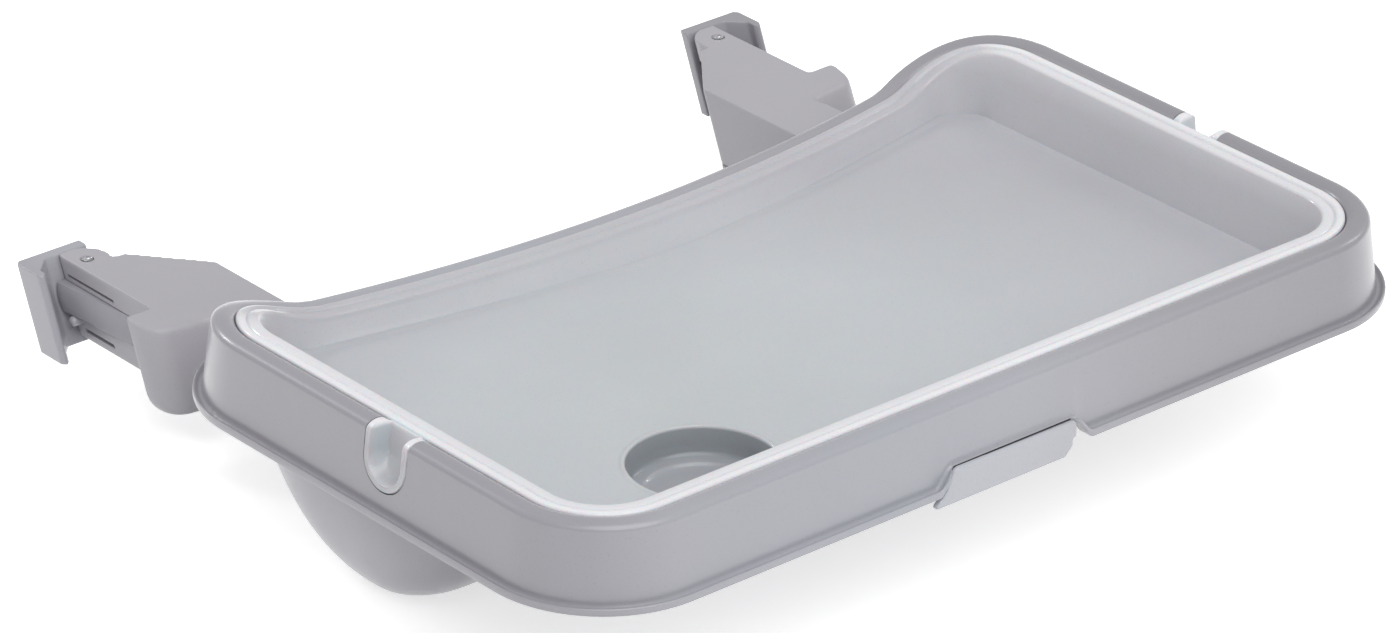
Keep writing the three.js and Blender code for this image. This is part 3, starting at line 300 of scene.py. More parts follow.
def pan_line(half, front, rear, rise, power, rf, rr):
    """The pan's closed outline, from the front's middle round the right side; 1 marks the rear's points.

    The rear edge curves in by rise from its ends to its middle; rf and rr are the corners' radii.
    """
    def curve(x):
        return rear + rise * (abs(x) / CURVE_HALF) ** power

    def slope(x):
        return rise * power * (abs(x) / CURVE_HALF) ** (power - 1) / CURVE_HALF

    cx = half - rr
    turn = 0.0
    for _ in range(12):
        turn = math.atan(slope(cx - rr * math.sin(turn)))
    jx = cx - rr * math.sin(turn)
    cy = curve(jx) - rr * math.cos(turn)
    pts = [(k, front, 0) for k in range(1, FINE_FRONT + 1)]
    for k in range(1, 6):
        pts.append((FINE_FRONT + (half - rf - FINE_FRONT) * k / 6, front, 0))
    for k in range(CORNER_STEPS + 1):
        a = (k / CORNER_STEPS - 1) * math.pi / 2
        pts.append((half - rf + rf * math.cos(a), front + rf + rf * math.sin(a), 0))
    y0 = front + rf
    for k in range(1, 5):
        pts.append((half, y0 + (NOTCH_Y - NOTCH_SPAN - y0) * k / 4, 0))
    for k in range(1, 9):
        pts.append((half, NOTCH_Y - NOTCH_SPAN + 2 * NOTCH_SPAN * k / 8, 0))
    for k in range(1, 5):
        pts.append((half, NOTCH_Y + NOTCH_SPAN + (cy - NOTCH_Y - NOTCH_SPAN) * k / 5, 0))
    for k in range(REAR_CORNER_STEPS + 1):
        a = k / REAR_CORNER_STEPS * (math.pi / 2 + turn)
        pts.append((cx + rr * math.cos(a), cy + rr * math.sin(a), 1))
    for k in range(1, REAR_STEPS):
        x = jx * (1 - k / REAR_STEPS)
        pts.append((x, curve(x), 1))
    left = [(-x, y, r) for x, y, r in reversed(pts)]
    return [(0, front, 0)] + pts + [(0, curve(0), 1)] + left


def rim_line(o):
    return pan_line(HALF + o, -o, REAR + o, rise=RISE, power=2.0, rf=CORNER + o, rr=CORNER + o)


def floor_line(o):
    return pan_line(FLOOR_SIDE + o, FLOOR_FRONT - o, FLOOR_REAR + o, rise=24, power=1.4,
                    rf=26 + o, rr=16 + o)


WEIGHTS = [r * (1 - smooth((abs(x) - DIP_FLAT) / (DIP_END - DIP_FLAT))) for x, y, r in rim_line(0)]


def rim_ring(o, z, crest=0.0):
    """A ring at an offset from the rim: lower, slimmer and with a flatter roll along the rear."""
    slim = REAR_SLIM * min(1.0, max(0.0, (o - ROLL_IN) / ROLL_W))
    drop = DIP + REAR_DROP * crest
    return [(x, y - slim * w, z - drop * w) for (x, y, _), w in zip(rim_line(o), WEIGHTS)]


def level_ring(line, z):
    return [(x, y, z) for x, y, _ in line]


def mix(a, b, t):
    return [tuple(p + (q - p) * t for p, q in zip(u, v)) for u, v in zip(a, b)]


# Making and joining meshes
def finish_mesh(obj, body, slot, replaces, angle):
    mesh = obj.data
    for poly in mesh.polygons:
        poly.use_smooth = True
    mesh.set_sharp_from_angle(angle=math.radians(angle))
    mesh.materials.clear()
    mesh.materials.append(MATS[slot])
    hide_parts(*replaces)
    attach(obj, body)
    return obj


def plain_object(name, bm):
    mesh = bpy.data.meshes.new(name)
    bmesh.ops.recalc_face_normals(bm, faces=bm.faces)
    bm.to_mesh(mesh)
    bm.free()
    obj = bpy.data.objects.new(name, mesh)
    bpy.context.scene.collection.objects.link(obj)
    return obj


def make_object(name, bm, body, slot, replaces, angle):
    return finish_mesh(plain_object(name, bm), body, slot, replaces, angle)


def settled(obj):
    """Bakes an object's modifiers into its mesh."""
    view = bpy.context.evaluated_depsgraph_get()
    mesh = bpy.data.meshes.new_from_object(obj.evaluated_get(view))
    obj.modifiers.clear()
    obj.data = mesh
    return obj


def combine(obj, other, operation):
    """Cuts, joins or crops a mesh by another one, which is then thrown away."""
    mod = obj.modifiers.new("cut", "BOOLEAN")
    mod.operation = operation
    mod.solver = "EXACT"
    mod.object = other
    settled(obj)
    bpy.data.objects.remove(other)
    return obj


def copy_of(node, name):
    obj = bpy.data.objects.new(name, frame["nodes"][node].data.copy())
    bpy.context.scene.collection.objects.link(obj)
    return obj


EVEN_SWINGS = (0.5, -0.53)
KEPT_FACES = 0.3


def relax(mesh, rounds, even_rounds, zone=None, zone_rounds=0):
    """Evens out a mesh: every vertex moves towards the mean of its neighbours; even rounds go to and fro."""
    count = len(mesh.vertices)
    points = np.empty(count * 3)
    mesh.vertices.foreach_get("co", points)
    points = points.reshape(-1, 3)
    edges = np.empty(len(mesh.edges) * 2, dtype=np.int64)
    mesh.edges.foreach_get("vertices", edges)
    a, b = edges.reshape(-1, 2).T
    degree = np.maximum(np.bincount(a, minlength=count) + np.bincount(b, minlength=count), 1)
    share = np.zeros(count) if zone is None else zone(points)
    for step in range(rounds + zone_rounds + even_rounds):
        mean = np.empty_like(points)
        for k in range(3):
            mean[:, k] = (np.bincount(a, points[b, k], count) + np.bincount(b, points[a, k], count)) / degree
        if step < rounds:
            weight = np.full(count, 0.5)
        elif step < rounds + zone_rounds:
            weight = 0.5 * share
        else:
            weight = np.full(count, EVEN_SWINGS[(step - rounds - zone_rounds) % 2])
        points += (mean - points) * weight[:, None]
    mesh.vertices.foreach_set("co", points.ravel())
    mesh.update()


def soften(obj, voxel, rounds, even_rounds, zone=None, zone_rounds=0):
    """Rounds off a solid's hard edges."""
    mod = obj.modifiers.new("skin", "REMESH")
    mod.mode = "VOXEL"
    mod.voxel_size = voxel / 1000 if FINE else voxel / 500
    settled(obj)
    relax(obj.data, rounds, even_rounds, zone, zone_rounds)
    slim = obj.modifiers.new("slim", "DECIMATE")
    slim.ratio = KEPT_FACES
    return settled(obj)


def bevelled(node, name, body, slot, width):
    """A copy of a piece with narrow rounded edges."""
    obj = copy_of(node, name)
    bm = bmesh.new()
    bm.from_mesh(obj.data)
    bmesh.ops.remove_doubles(bm, verts=bm.verts, dist=1e-6)
    bmesh.ops.dissolve_limit(bm, angle_limit=math.radians(1), verts=bm.verts, edges=bm.edges)
    bm.to_mesh(obj.data)
    bm.free()
    mod = obj.modifiers.new("soft", "BEVEL")
    mod.width = width / 1000
    mod.segments = 3
    mod.limit_method = "ANGLE"
    mod.angle_limit = math.radians(30)
    settled(obj)
    return finish_mesh(obj, body, slot, [node], 35)


def angles(steps):
    return [2 * math.pi * k / steps for k in range(steps)]


def bridge(bm, rows):
    """Joins closed rings of vertices with faces."""
    for a, b in zip(rows, rows[1:]):
        for i in range(len(a)):
            j = (i + 1) % len(a)
            bm.faces.new((a[i], b[i], b[j], a[j]))


def cap(bm, rows):
    """Closes the first and the last ring of vertices."""
    bm.faces.new(rows[0])
    bm.faces.new(list(reversed(rows[-1])))


def loft(bm, rings, closed=True):
    """A skin over rings of points, closed at both ends or left open."""
    rows = [[bm.verts.new(world(p)) for p in ring] for ring in rings]
    bridge(bm, rows)
    if closed:
        cap(bm, rows)
    return rows


def lathe(bm, cx, cy, profile, steps=72):
    """Turns (radius, z) pairs round a vertical axis; the ends stay open."""
    rings = []
    for r, z in profile:
        rings.append([bm.verts.new(world((cx + r * math.cos(a), cy + r * math.sin(a), z)))
                      for a in angles(steps)])
    bridge(bm, rings)
    return rings


def fill_between(bm, outer, inner):
    """Fills a flat region between an outer ring of vertices and a hole's ring."""
    edges = []
    for ring in (outer, inner):
        for i in range(len(ring)):
            a, b = ring[i], ring[(i + 1) % len(ring)]
            edges.append(bm.edges.get((a, b)) or bm.edges.new((a, b)))
    bmesh.ops.triangle_fill(bm, edges=edges, use_beauty=True, use_dissolve=False)


# Moulded pan
ARCH_L, ARCH_R, ARCH_SLANT, ARCH_RISE = -49.0, 33.0, 7.0, 8.4
ARCH_LEAD, ARCH_BLEND = 0.12, 1.24
HOOD, HOOD_LEFT, HOOD_RIGHT, HOOD_BLEND = 15.9, -45, 27, 4


def arch_rise(x):
    """How far the front wall's lower edge is lifted over the pull tab."""
    t = min((x - ARCH_L) / ARCH_SLANT, (ARCH_R - x) / ARCH_SLANT)
    if t <= -ARCH_LEAD:
        return 0.0
    return ARCH_RISE * smooth((t + ARCH_LEAD) / ARCH_BLEND)


def lift_front(ring, share, thin=0.0):
    """Lifts the front's lower edge over the tab; the flange gets thinner there."""
    out = []
    for x, y, z in ring:
        if y < 5:
            rise = arch_rise(x)
            z += rise * share + thin * rise / ARCH_RISE
            if y < -HOOD:
                inside = smooth((x - HOOD_LEFT) / HOOD_BLEND) * smooth((HOOD_RIGHT - x) / HOOD_BLEND)
                y += (-HOOD - y) * inside
        out.append((x, y, z))
    return out


# Thickness of the insert and of the pan, and the gap between them
INSERT, WALL_GAP, BASE = 2.0, 1.2, 2.5
LIP, INSERT_FLOOR = -10, -26
BASE_FLOOR = -28.3
LEDGE = -2.45
ROLL_IN, ROLL_W, ROLL_RISE, ROLL_FOOT = 0.5, 10.5, 1.4, 2.0
ROLL_STEPS, WALL_STEPS = 18, 14
WALL_FOOT, WALL_BOTTOM = 14.5, -30.0
CUP_X, CUP_Y = -113.0, 53.0
# The flange's section: offset from the rim, height, and how much lower over the pull tab
FLANGE = [(14.55, -30.8, 0.1), (14.7, -31.6, 0), (15.1, -32.2, 0), (15.8, -32.45, -0.1), (16.6, -32.3, -0.3),
          (17.2, -31.8, -0.5), (17.7, -31.35, -0.7), (18.2, -31.25, -0.8), (18.65, -31.6, -0.9),
          (18.8, -32.3, -1.0), (18.8, -33.6, -0.3), (18.6, -34.3, 0), (18.0, -34.6, 0), (15.0, -34.6, 0),
          (12.4, -34.6, 0), (12.0, -34.3, 0)]


def build_base():
    bm = bmesh.new()
    foot = level_ring(floor_line(INSERT + WALL_GAP), BASE_FLOOR)
    ledge = rim_ring(LIP + INSERT + WALL_GAP, LEDGE)
    rings = [
        level_ring(floor_line(INSERT + WALL_GAP - 6), BASE_FLOOR),
        level_ring(floor_line(INSERT + WALL_GAP - 3), BASE_FLOOR),
        mix(foot, ledge, 0.06), mix(foot, ledge, 0.3), mix(foot, ledge, 0.7), ledge,
        rim_ring(ROLL_IN - 1, LEDGE), rim_ring(ROLL_IN, LEDGE + 0.1),
    ]
    for k in range(ROLL_STEPS + 1):
        a = math.pi * (1 - k / ROLL_STEPS)
        o = ROLL_IN + ROLL_W / 2 * (1 + math.cos(a))
        rings.append(rim_ring(o, -ROLL_FOOT + (ROLL_FOOT + ROLL_RISE) * math.sin(a), math.sin(a)))
    top = rim_ring(ROLL_IN + ROLL_W, -ROLL_FOOT)
    bottom = level_ring(rim_line(WALL_FOOT), WALL_BOTTOM)
    for k in range(1, WALL_STEPS + 1):
        s = k / WALL_STEPS
        rings.append(lift_front(mix(top, bottom, s), s ** 1.5))
    for o, z, thin in FLANGE:
        rings.append(lift_front(level_ring(rim_line(o), z), 1.0, thin))
    inner_top = rim_ring(ROLL_IN + ROLL_W - BASE, -ROLL_FOOT - 0.5)
    inner_bottom = level_ring(rim_line(WALL_FOOT - BASE), -33.5)
    for s in (1.0, 0.75, 0.5, 0.25, 0.0):
        rings.append(lift_front(mix(inner_top, inner_bottom, s), s))
    inner = ROLL_IN + BASE
    rings += [
        rim_ring(ROLL_IN + ROLL_W / 2, -0.1),
        rim_ring(inner, -2.2),
        rim_ring(inner - 1.5, LEDGE - BASE),
        rim_ring(LIP + INSERT + WALL_GAP + BASE, LEDGE - BASE),
        level_ring(floor_line(INSERT + WALL_GAP + BASE), -30.4),
        level_ring(floor_line(INSERT + WALL_GAP + BASE - 2), -30.8),
        level_ring(floor_line(INSERT + WALL_GAP + BASE - 6), -30.8),
    ]
    rows = loft(bm, rings, closed=False)
    top_cup = [(33.3, BASE_FLOOR), (33.3, -40.0), (32.3, -42.2), (30.0, -42.5)]
    under_cup = [(30.0, -45.3), (33.8, -45.1), (35.6, -43.6), (35.8, -41.0), (35.8, -30.8)]
    inside = lathe(bm, CUP_X, CUP_Y, top_cup)
    outside = lathe(bm, CUP_X, CUP_Y, under_cup)
    bm.faces.new(list(reversed(inside[-1])))
    bm.faces.new(outside[0])
    fill_between(bm, rows[0], inside[0])
    fill_between(bm, rows[-1], outside[-1])
    obj = plain_object("pan_shell", bm)
    for side in (-1, 1):
        combine(obj, notch_cutter(side), "DIFFERENCE")
    add_bosses(obj)
    return finish_mesh(obj, "tray", "shell", ["tray_base"], 32)


def notch_outline(half, depth, top):
    """The notch's U in a side wall, as (y, z) pairs."""
    low = half - depth
    pts = [(NOTCH_Y - half, top)]
    for k in range(49):
        a = math.pi + math.pi * k / 48
        pts.append((NOTCH_Y + half * math.cos(a), low + half * math.sin(a)))
    return pts + [(NOTCH_Y + half, top)]


def notch_cutter(side):
    bm = bmesh.new()
    outline = notch_outline(NOTCH_HALF + NOTCH_PLAY, NOTCH_DEPTH + NOTCH_PLAY, 9)
    loft(bm, [[(side * (HALF + out), y, z) for y, z in outline] for out in (NOTCH_PLAY, 30)])
    return plain_object("cutter", bm)


BOSSES = [(s * x, y) for s in (-1, 1) for x, y in ((153, 160), (153, 196), (106, 138.5), (106, 161.5))]
BOSSES += [(-13.5 - 18, 79), (-13.5 + 18, 79)]
BOSS_PROFILE = [(2.0, -33.5), (1.6, -34.7), (4.2, -34.8), (4.6, -34.4), (4.6, -31.8), (5.4, -31.0),
                (5.4, -30.0)]


def add_bosses(obj):
    """Screw bosses under the pan, each with a wider root and a hole's edge."""
    bm = bmesh.new()
    for x, y in BOSSES:
        cap(bm, lathe(bm, x, y, BOSS_PROFILE, 28))
    combine(obj, plain_object("bosses", bm), "UNION")


# Insert
WALL_BOW = 0.48


def build_insert():
    bm = bmesh.new()
    foot = level_ring(floor_line(0), INSERT_FLOOR)
    lip = rim_ring(LIP, -1.8)
    floor = [(-9, -26), (-6, -26), (-4, -25.97), (-3.0, -25.85), (-2.0, -25.5)]
    inner_rings = [level_ring(floor_line(o), z) for o, z in floor]
    for s in (0.03, 0.06, 0.1, 0.16, 0.3, 0.5, 0.7, 0.85, 0.95):
        bow = WALL_BOW * math.sin(math.pi * s)
        inner_rings.append([(x, y, z - bow * (1 - s)) for x, y, z in mix(foot, lip, s)])
    rim = [(-9.85, -1.2), (-9.4, -0.55), (-8.8, -0.15), (-8.0, 0.0), (-6.6, 0.05), (-5.2, 0.0),
           (-4.7, -0.25), (-4.3, -0.55), (-3.9, -0.3), (-3.5, 0.15), (-3.0, 0.5), (-2.3, 0.7), (-1.5, 0.7),
           (-0.7, 0.5), (-0.05, 0.1), (0.25, -0.5), (0.33, -1.2), (0.2, -1.7), (-0.4, -2.0)]
    rings = inner_rings + [rim_ring(o, z) for o, z in rim]
    under_top = rim_ring(LIP + INSERT, -INSERT)
    under_foot = level_ring(floor_line(INSERT), INSERT_FLOOR - INSERT)
    rings += [under_top, mix(under_foot, under_top, 0.5), mix(under_foot, under_top, 0.05)]
    rings += [level_ring(floor_line(INSERT - o), INSERT_FLOOR - INSERT) for o in (4, 7)]
    rows = loft(bm, rings, closed=False)
    cup = [(34.2, -26.0), (33.2, -25.95), (32.7, -25.55), (32.2, -25.35), (31.6, -25.4), (31.1, -25.8),
           (31.0, -26.6), (30.6, -33.0), (30.3, -36.4), (29.6, -37.6), (28.4, -38.3), (26.6, -38.5),
           (25.2, -38.55), (24.4, -38.9), (23.9, -39.7), (23.2, -40.0), (20.0, -40.0), (8.0, -40.0)]
    under = [(8.0, -42.0), (30.0, -42.0), (32.0, -41.4), (32.8, -39.6), (33.0, -36.0), (33.0, -28.0)]
    inside = lathe(bm, CUP_X, CUP_Y, cup, 96)
    outside = lathe(bm, CUP_X, CUP_Y, under, 96)
    bm.faces.new(list(reversed(inside[-1])))
    bm.faces.new(outside[0])
    fill_between(bm, rows[0], inside[0])
    fill_between(bm, rows[-1], outside[-1])
    for side in (-1, 1):
        tongue(bm, side)
    return make_object("insert_shell", bm, "insert", "insert", ["insert_tray"], 50)


def notch_inset(y, z, half, depth):
    """Distance from a point of the side wall to the edge of the notch's U, from inside."""
    dy = abs(y - NOTCH_Y)
    low = half - depth
    if z < low:
        return half - math.hypot(dy, z - low)
    return half - dy


TONGUE_ROLL, TONGUE_WALL, TONGUE_COLS = 15, 64, 64
SCOOP_BEND = -13
BORDER_IN, BORDER_BLEND = 2.9, 1.5
BEADS, BEAD_WIDTH, BEAD_LIFT, EDGE_DROP = ((0.75, 1.0), (2.75, 1.2)), 0.4, 0.3, 0.6
TONGUE_THICK = 1.5


def tongue_rows():
    """Matching points of the border and of the scoop, as offsets from the rim and heights."""
    rows = []
    mid, reach, high = ROLL_IN + ROLL_W / 2, ROLL_W / 2 + 0.15, ROLL_FOOT + ROLL_RISE
    scoop_top = [(-1.2, -0.25), (-0.2, -0.2), (0.6, -0.25), (1.1, -0.55), (1.45, -1.1), (1.65, -1.8)]
    for k in range(3):
        rows.append(((-1.2 + 0.7 * k, -0.25 - 0.2 * k), (-1.2 + 0.4 * k, -0.25)))
    for k in range(TONGUE_ROLL + 1):
        a = math.pi * (1 - k / TONGUE_ROLL)
        border = (mid + reach * math.cos(a), -ROLL_FOOT + high * math.sin(a))
        t = k / TONGUE_ROLL * (len(scoop_top) - 1)
        i = min(int(t), len(scoop_top) - 2)
        p, q = scoop_top[i], scoop_top[i + 1]
        rows.append((border, (p[0] + (q[0] - p[0]) * (t - i), p[1] + (q[1] - p[1]) * (t - i))))
    end = -NOTCH_DEPTH + 0.1
    for k in range(1, TONGUE_WALL + 1):
        z = -2.0 + (end + 2.0) * (1 - (1 - k / TONGUE_WALL) ** 1.25)
        border = 11.15 + (14.6 - 11.15) * (z + 2.0) / (-30.0 + 2.0)
        if z > SCOOP_BEND:
            scoop = 1.65 + 1.5 * (z + 2.0) / -11
        else:
            t = (z - SCOOP_BEND) / -11
            scoop = 3.15 + 0.5 * t + 7.6 * t ** 1.15
        rows.append(((border, z), (min(scoop, border - 0.3), z)))
    return rows


def tongue(bm, side):
    """One finger tongue: a beaded border over the roll and down the wall, round a deep scoop."""
    half, depth = NOTCH_HALF - 0.05, NOTCH_DEPTH - 0.05
    front, back = [], []
    for border, scoop in tongue_rows():
        z = border[1] if border[0] > 6 else 0
        low = half - depth
        w = math.sqrt(max(0.0, half * half - (z - low) ** 2)) if z < low else half
        w = max(w, 0.02)
        row_f, row_b = [], []
        for c in range(TONGUE_COLS + 1):
            y = NOTCH_Y + math.sin((c / TONGUE_COLS - 0.5) * math.pi) * w
            d = notch_inset(y, z, half, depth)
            inner = smooth((d - BORDER_IN) / BORDER_BLEND)
            o = border[0] + (scoop[0] - border[0]) * inner
            h = border[1] + (scoop[1] - border[1]) * inner
            beads = sum(size * math.exp(-((d - place) / BEAD_WIDTH) ** 2) for place, size in BEADS)
            lift = BEAD_LIFT * beads - EDGE_DROP * (1 - smooth(d / 0.5))
            turn = min(1.0, max(0.0, (-border[1] + 2.6) / 6))
            up = 1 - turn if border[0] < 11.2 else 0
            length = math.hypot(turn, up)
            o += lift * turn / length * (1 - 0.5 * inner)
            h += min(lift, 0.0) * up / length * (1 - inner)
            row_f.append(bm.verts.new(world((side * (HALF + o), y, h))))
            under = HALF + o - TONGUE_THICK * turn / length - 0.2
            row_b.append(bm.verts.new(world((side * under, y, h - TONGUE_THICK * up / length - 0.3))))
        front.append(row_f)
        back.append(row_b)
    for grid in (front, back):
        for a, b in zip(grid, grid[1:]):
            for c in range(TONGUE_COLS):
                bm.faces.new((a[c], a[c + 1], b[c + 1], b[c]))
    for a, b in ((front[0], back[0]), (front[-1], back[-1])):
        for c in range(TONGUE_COLS):
            bm.faces.new((a[c], a[c + 1], b[c + 1], b[c]))
    for c in (0, TONGUE_COLS):
        for r in range(len(front) - 1):
            bm.faces.new((front[r][c], front[r + 1][c], back[r + 1][c], back[r][c]))


build_base()
build_insert()


# Arms, clips, tab and grips
def leaning(x, y, depth):
    """A point given at the arm's top face, moved down along the posts' lean."""
    return (x, y - depth * math.tan(LEAN), ARM_TOP - depth)


def knob_zone(points):
    """1 on the front edge of the arm's outer knob, fading out round it."""
    x = np.abs(points[:, 0]) * 1000
    depth = ARM_TOP + DZ - points[:, 2] * 1000
    y = points[:, 1] * 1000 - DY + depth * math.tan(LEAN)
    near = np.clip((x - 164) / 6, 0, 1) * np.clip((322 - y) / 8, 0, 1) * np.clip((y - 296) / 3, 0, 1)
    return near * np.clip((14 - depth) / 6, 0, 1)


# The arm in plan at its top face, and depths below that face
ARM_IN, ARM_FRONT_OUT, ARM_OUT = 136.0, 168.0, 184.0
ARM_FRONT, SHOULDER, BEND, ARM_HIGH, WALL = 118.0, 308, 343.0, 33.0, 3.0
PIN_X, PIN_Y, PIN_BORE, PIN_SINK, PLATE_Y = 177.0, 380.0, 2.1, 3.0, 392.0
KNEE, SWEPT = (161.7, 374.7), (164.1, 374.0)
KNOB_STEPS = ((0, 0), (0, 31), (0.5, 33.4), (1.6, 35.4), (3.2, 36.4), (5, 36.7))
KNOB_RADIUS, KNOB_X, KNOB_Y = 12, 185.9, 318.6
REAR_GAP, WINDOW = (9.5, 27), (9.6, 22.9)
UPPER_SLIT, LOWER_SLIT = (355, 388, 6.65, 8.0), (364.3, 385, 28.0, 29.6)
RAIL_SLOT, RAIL_SLOT_END = (149.7, 156.3), 262
BOLT_PLAY, BOLT_TRAVEL = 0.4, 25.4
COVER_BOSSES, BOSS_HALF, BOSS_TOP = (131, 262), 5, ARM_HIGH - 9
PEG_Y, PEG_DEPTH = 385.4, 24.1
PEG_PROFILE = ((182.6, 2.3), (188.4, 2.3), (189.2, 2.1), (189.8, 1.6), (190.1, 1.0), (190.2, 0.2))
COVER_OUT = 180.3


def slab(side, rings):
    """A solid from outlines at several depths below the arm's top, along the posts' lean."""
    bm = bmesh.new()
    loft(bm, [[leaning(side * x, y, depth) for x, y in outline] for outline, depth in rings])
    return plain_object("solid", bm)


def box_outline(x0, x1, y0, y1):
    return [(x0, y0), (x1, y0), (x1, y1), (x0, y1)]


def room(side, x0, x1, y0, y1, top, bottom):
    """A straight box between two depths."""
    bm = bmesh.new()
    outline = box_outline(x0, x1, y0, y1)
    loft(bm, [[(side * x, y, ARM_TOP - depth) for x, y in outline] for depth in (top, bottom)])
    return plain_object("solid", bm)


def leaning_room(side, x0, x1, y0, y1, top, bottom):
    """A box between two depths that leans as the posts do."""
    outline = box_outline(x0, x1, y0, y1)
    return slab(side, [(outline, top), (outline, bottom)])


def arm_outline():
    """The arm's plan: square to the plate on the outer side, round the pin on the inner side."""
    radius = (PLATE_Y - PIN_Y) * math.cos(LEAN) - 0.4
    first, last = math.radians(88), math.radians(203)
    nose = []
    for k in range(17):
        a = first + (last - first) * k / 16
        nose.append((PIN_X + radius * math.cos(a), PIN_Y + radius * math.sin(a) / math.cos(LEAN)))
    return [(ARM_IN, ARM_FRONT), (ARM_FRONT_OUT, ARM_FRONT), (ARM_FRONT_OUT, SHOULDER), (ARM_OUT, SHOULDER),
            (ARM_OUT, PLATE_Y - 0.6), *nose, SWEPT, KNEE, (ARM_IN, BEND)]


def knob_outline(inset):
    """The knob's plan, with a large round outer front corner."""
    radius = KNOB_RADIUS - inset
    pts = [(165, 326.5 - inset), (196.6 - inset, 325.3 - inset), (197.9 - inset, 324 - inset)]
    for k in range(9):
        a = -math.pi / 2 * k / 8
        pts.append((KNOB_X + radius * math.cos(a), KNOB_Y + radius * math.sin(a)))
    return pts + [(175, 305 + inset), (168, 304.6 + inset), (165, 304.6 + inset)]


def pin_cylinder(side, radius, top, bottom):
    """A cylinder round the clip's pin."""
    bm = bmesh.new()
    axis = Vector((0, math.sin(LEAN), math.cos(LEAN)))
    across = Vector((0, math.cos(LEAN), -math.sin(LEAN)))
    centre = Vector((side * PIN_X, PIN_Y, ARM_TOP))
    rings = []
    for depth in (top, bottom):
        middle = centre - axis * depth
        rings.append([tuple(middle + Vector((radius * math.cos(a), 0, 0)) + across * radius * math.sin(a))
                      for a in angles(48)])
    loft(bm, rings)
    return plain_object("solid", bm)


def build_arm(side):
    """The arm housing: a rounded body, then its crisp openings."""
    s = -1 if side == "left" else 1
    body = slab(s, [(arm_outline(), 0), (arm_outline(), ARM_HIGH)])
    knob = slab(s, [(knob_outline(inset), depth) for inset, depth in KNOB_STEPS])
    body = soften(combine(body, knob, "UNION"), voxel=0.75, rounds=5, even_rounds=4,
                  zone=knob_zone, zone_rounds=60)
    inside = [(ARM_IN + WALL, ARM_FRONT + WALL), (ARM_FRONT_OUT - WALL, ARM_FRONT + WALL),
              (ARM_FRONT_OUT - WALL, SHOULDER + 0.7), (ARM_OUT - WALL, SHOULDER + 0.7),
              (ARM_OUT - WALL, 366), (159.1, 366), (ARM_IN + WALL, BEND - WALL / 2)]
    cuts = slab(s, [(inside, WALL), (inside, ARM_HIGH + 9)])
    low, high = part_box(f"{side}_bolt")
    pieces = [
        leaning_room(s, ARM_IN - 1, 182.4, 365.7, 399, *REAR_GAP),
        leaning_room(s, 179, 192, 334, 399, *WINDOW),
        leaning_room(s, 179.5, 190, *UPPER_SLIT),
        leaning_room(s, 179.5, 190, *LOWER_SLIT),
        room(s, *RAIL_SLOT, ARM_FRONT - 8, RAIL_SLOT_END, -1, WALL + 0.5),
        room(s, 130, ARM_IN + WALL + 2, low[1] * 1000 - DY - BOLT_TRAVEL, high[1] * 1000 - DY + BOLT_TRAVEL,
             ARM_TOP + DZ - high[2] * 1000 - BOLT_PLAY, ARM_TOP + DZ - low[2] * 1000 + BOLT_PLAY),
        pin_cylinder(s, PIN_BORE, -3, 40),
        pin_cylinder(s, PIN_SINK, -3, 1.1),
    ]
    for piece in pieces:
        combine(cuts, piece, "UNION")
    combine(body, cuts, "DIFFERENCE")
    for y in COVER_BOSSES:
        boss = room(s, 137.5, 150, y - BOSS_HALF, y + BOSS_HALF, BOSS_TOP, ARM_HIGH)
        combine(body, boss, "UNION")
    body.name = f"{side}_arm_shell"
    finish_mesh(body, "carrier", "shell", [f"{side}_arm"], 40)
    body.data.materials[0] = arm_mat


def build_peg(side):
    """The small round peg on the arm's face, with a domed head."""
    s = -1 if side == "left" else 1
    bm = bmesh.new()
    rings = []
    for x, r in PEG_PROFILE:
        rings.append([(s * x, PEG_Y - PEG_DEPTH * math.tan(LEAN) + r * math.cos(a),
                       ARM_TOP - PEG_DEPTH + r * math.sin(a)) for a in angles(40)])
    loft(bm, rings)
    return make_object(f"{side}_round_peg", bm, "carrier", "shell", [f"{side}_stop_peg"], 50)


def build_cover(side):
    """The arm's bottom plate, set in a little from the arm's outer face."""
    s = -1 if side == "left" else 1
    obj = copy_of(f"{side}_arm_cover", f"{side}_cover_plate")
    combine(obj, room(s, COVER_OUT, 205, 300, 400, 0, 50), "DIFFERENCE")
    return finish_mesh(obj, "carrier", "shell", [f"{side}_arm_cover"], 35)


BAR_TOP, BAR_BOTTOM, SLIDE_BOTTOM = 10.0, 21.5, 22.5
BOW_MID, BOW_REACH = 16.7, 10.0
SLIDE_FRONT, SLIDE_REAR = 345, 372


def bar_section(x_in, x_out, bottom, bow):
    """A bar's section: flat inside, bowed outside."""
    pts = [(x_in, bottom), (x_in, BAR_TOP)]
    for k in range(19):
        depth = BAR_TOP + (bottom - BAR_TOP) * k / 18
        pts.append((x_out - bow * (1 - math.sqrt(1 - ((depth - BOW_MID) / BOW_REACH) ** 2)), depth))
    return pts


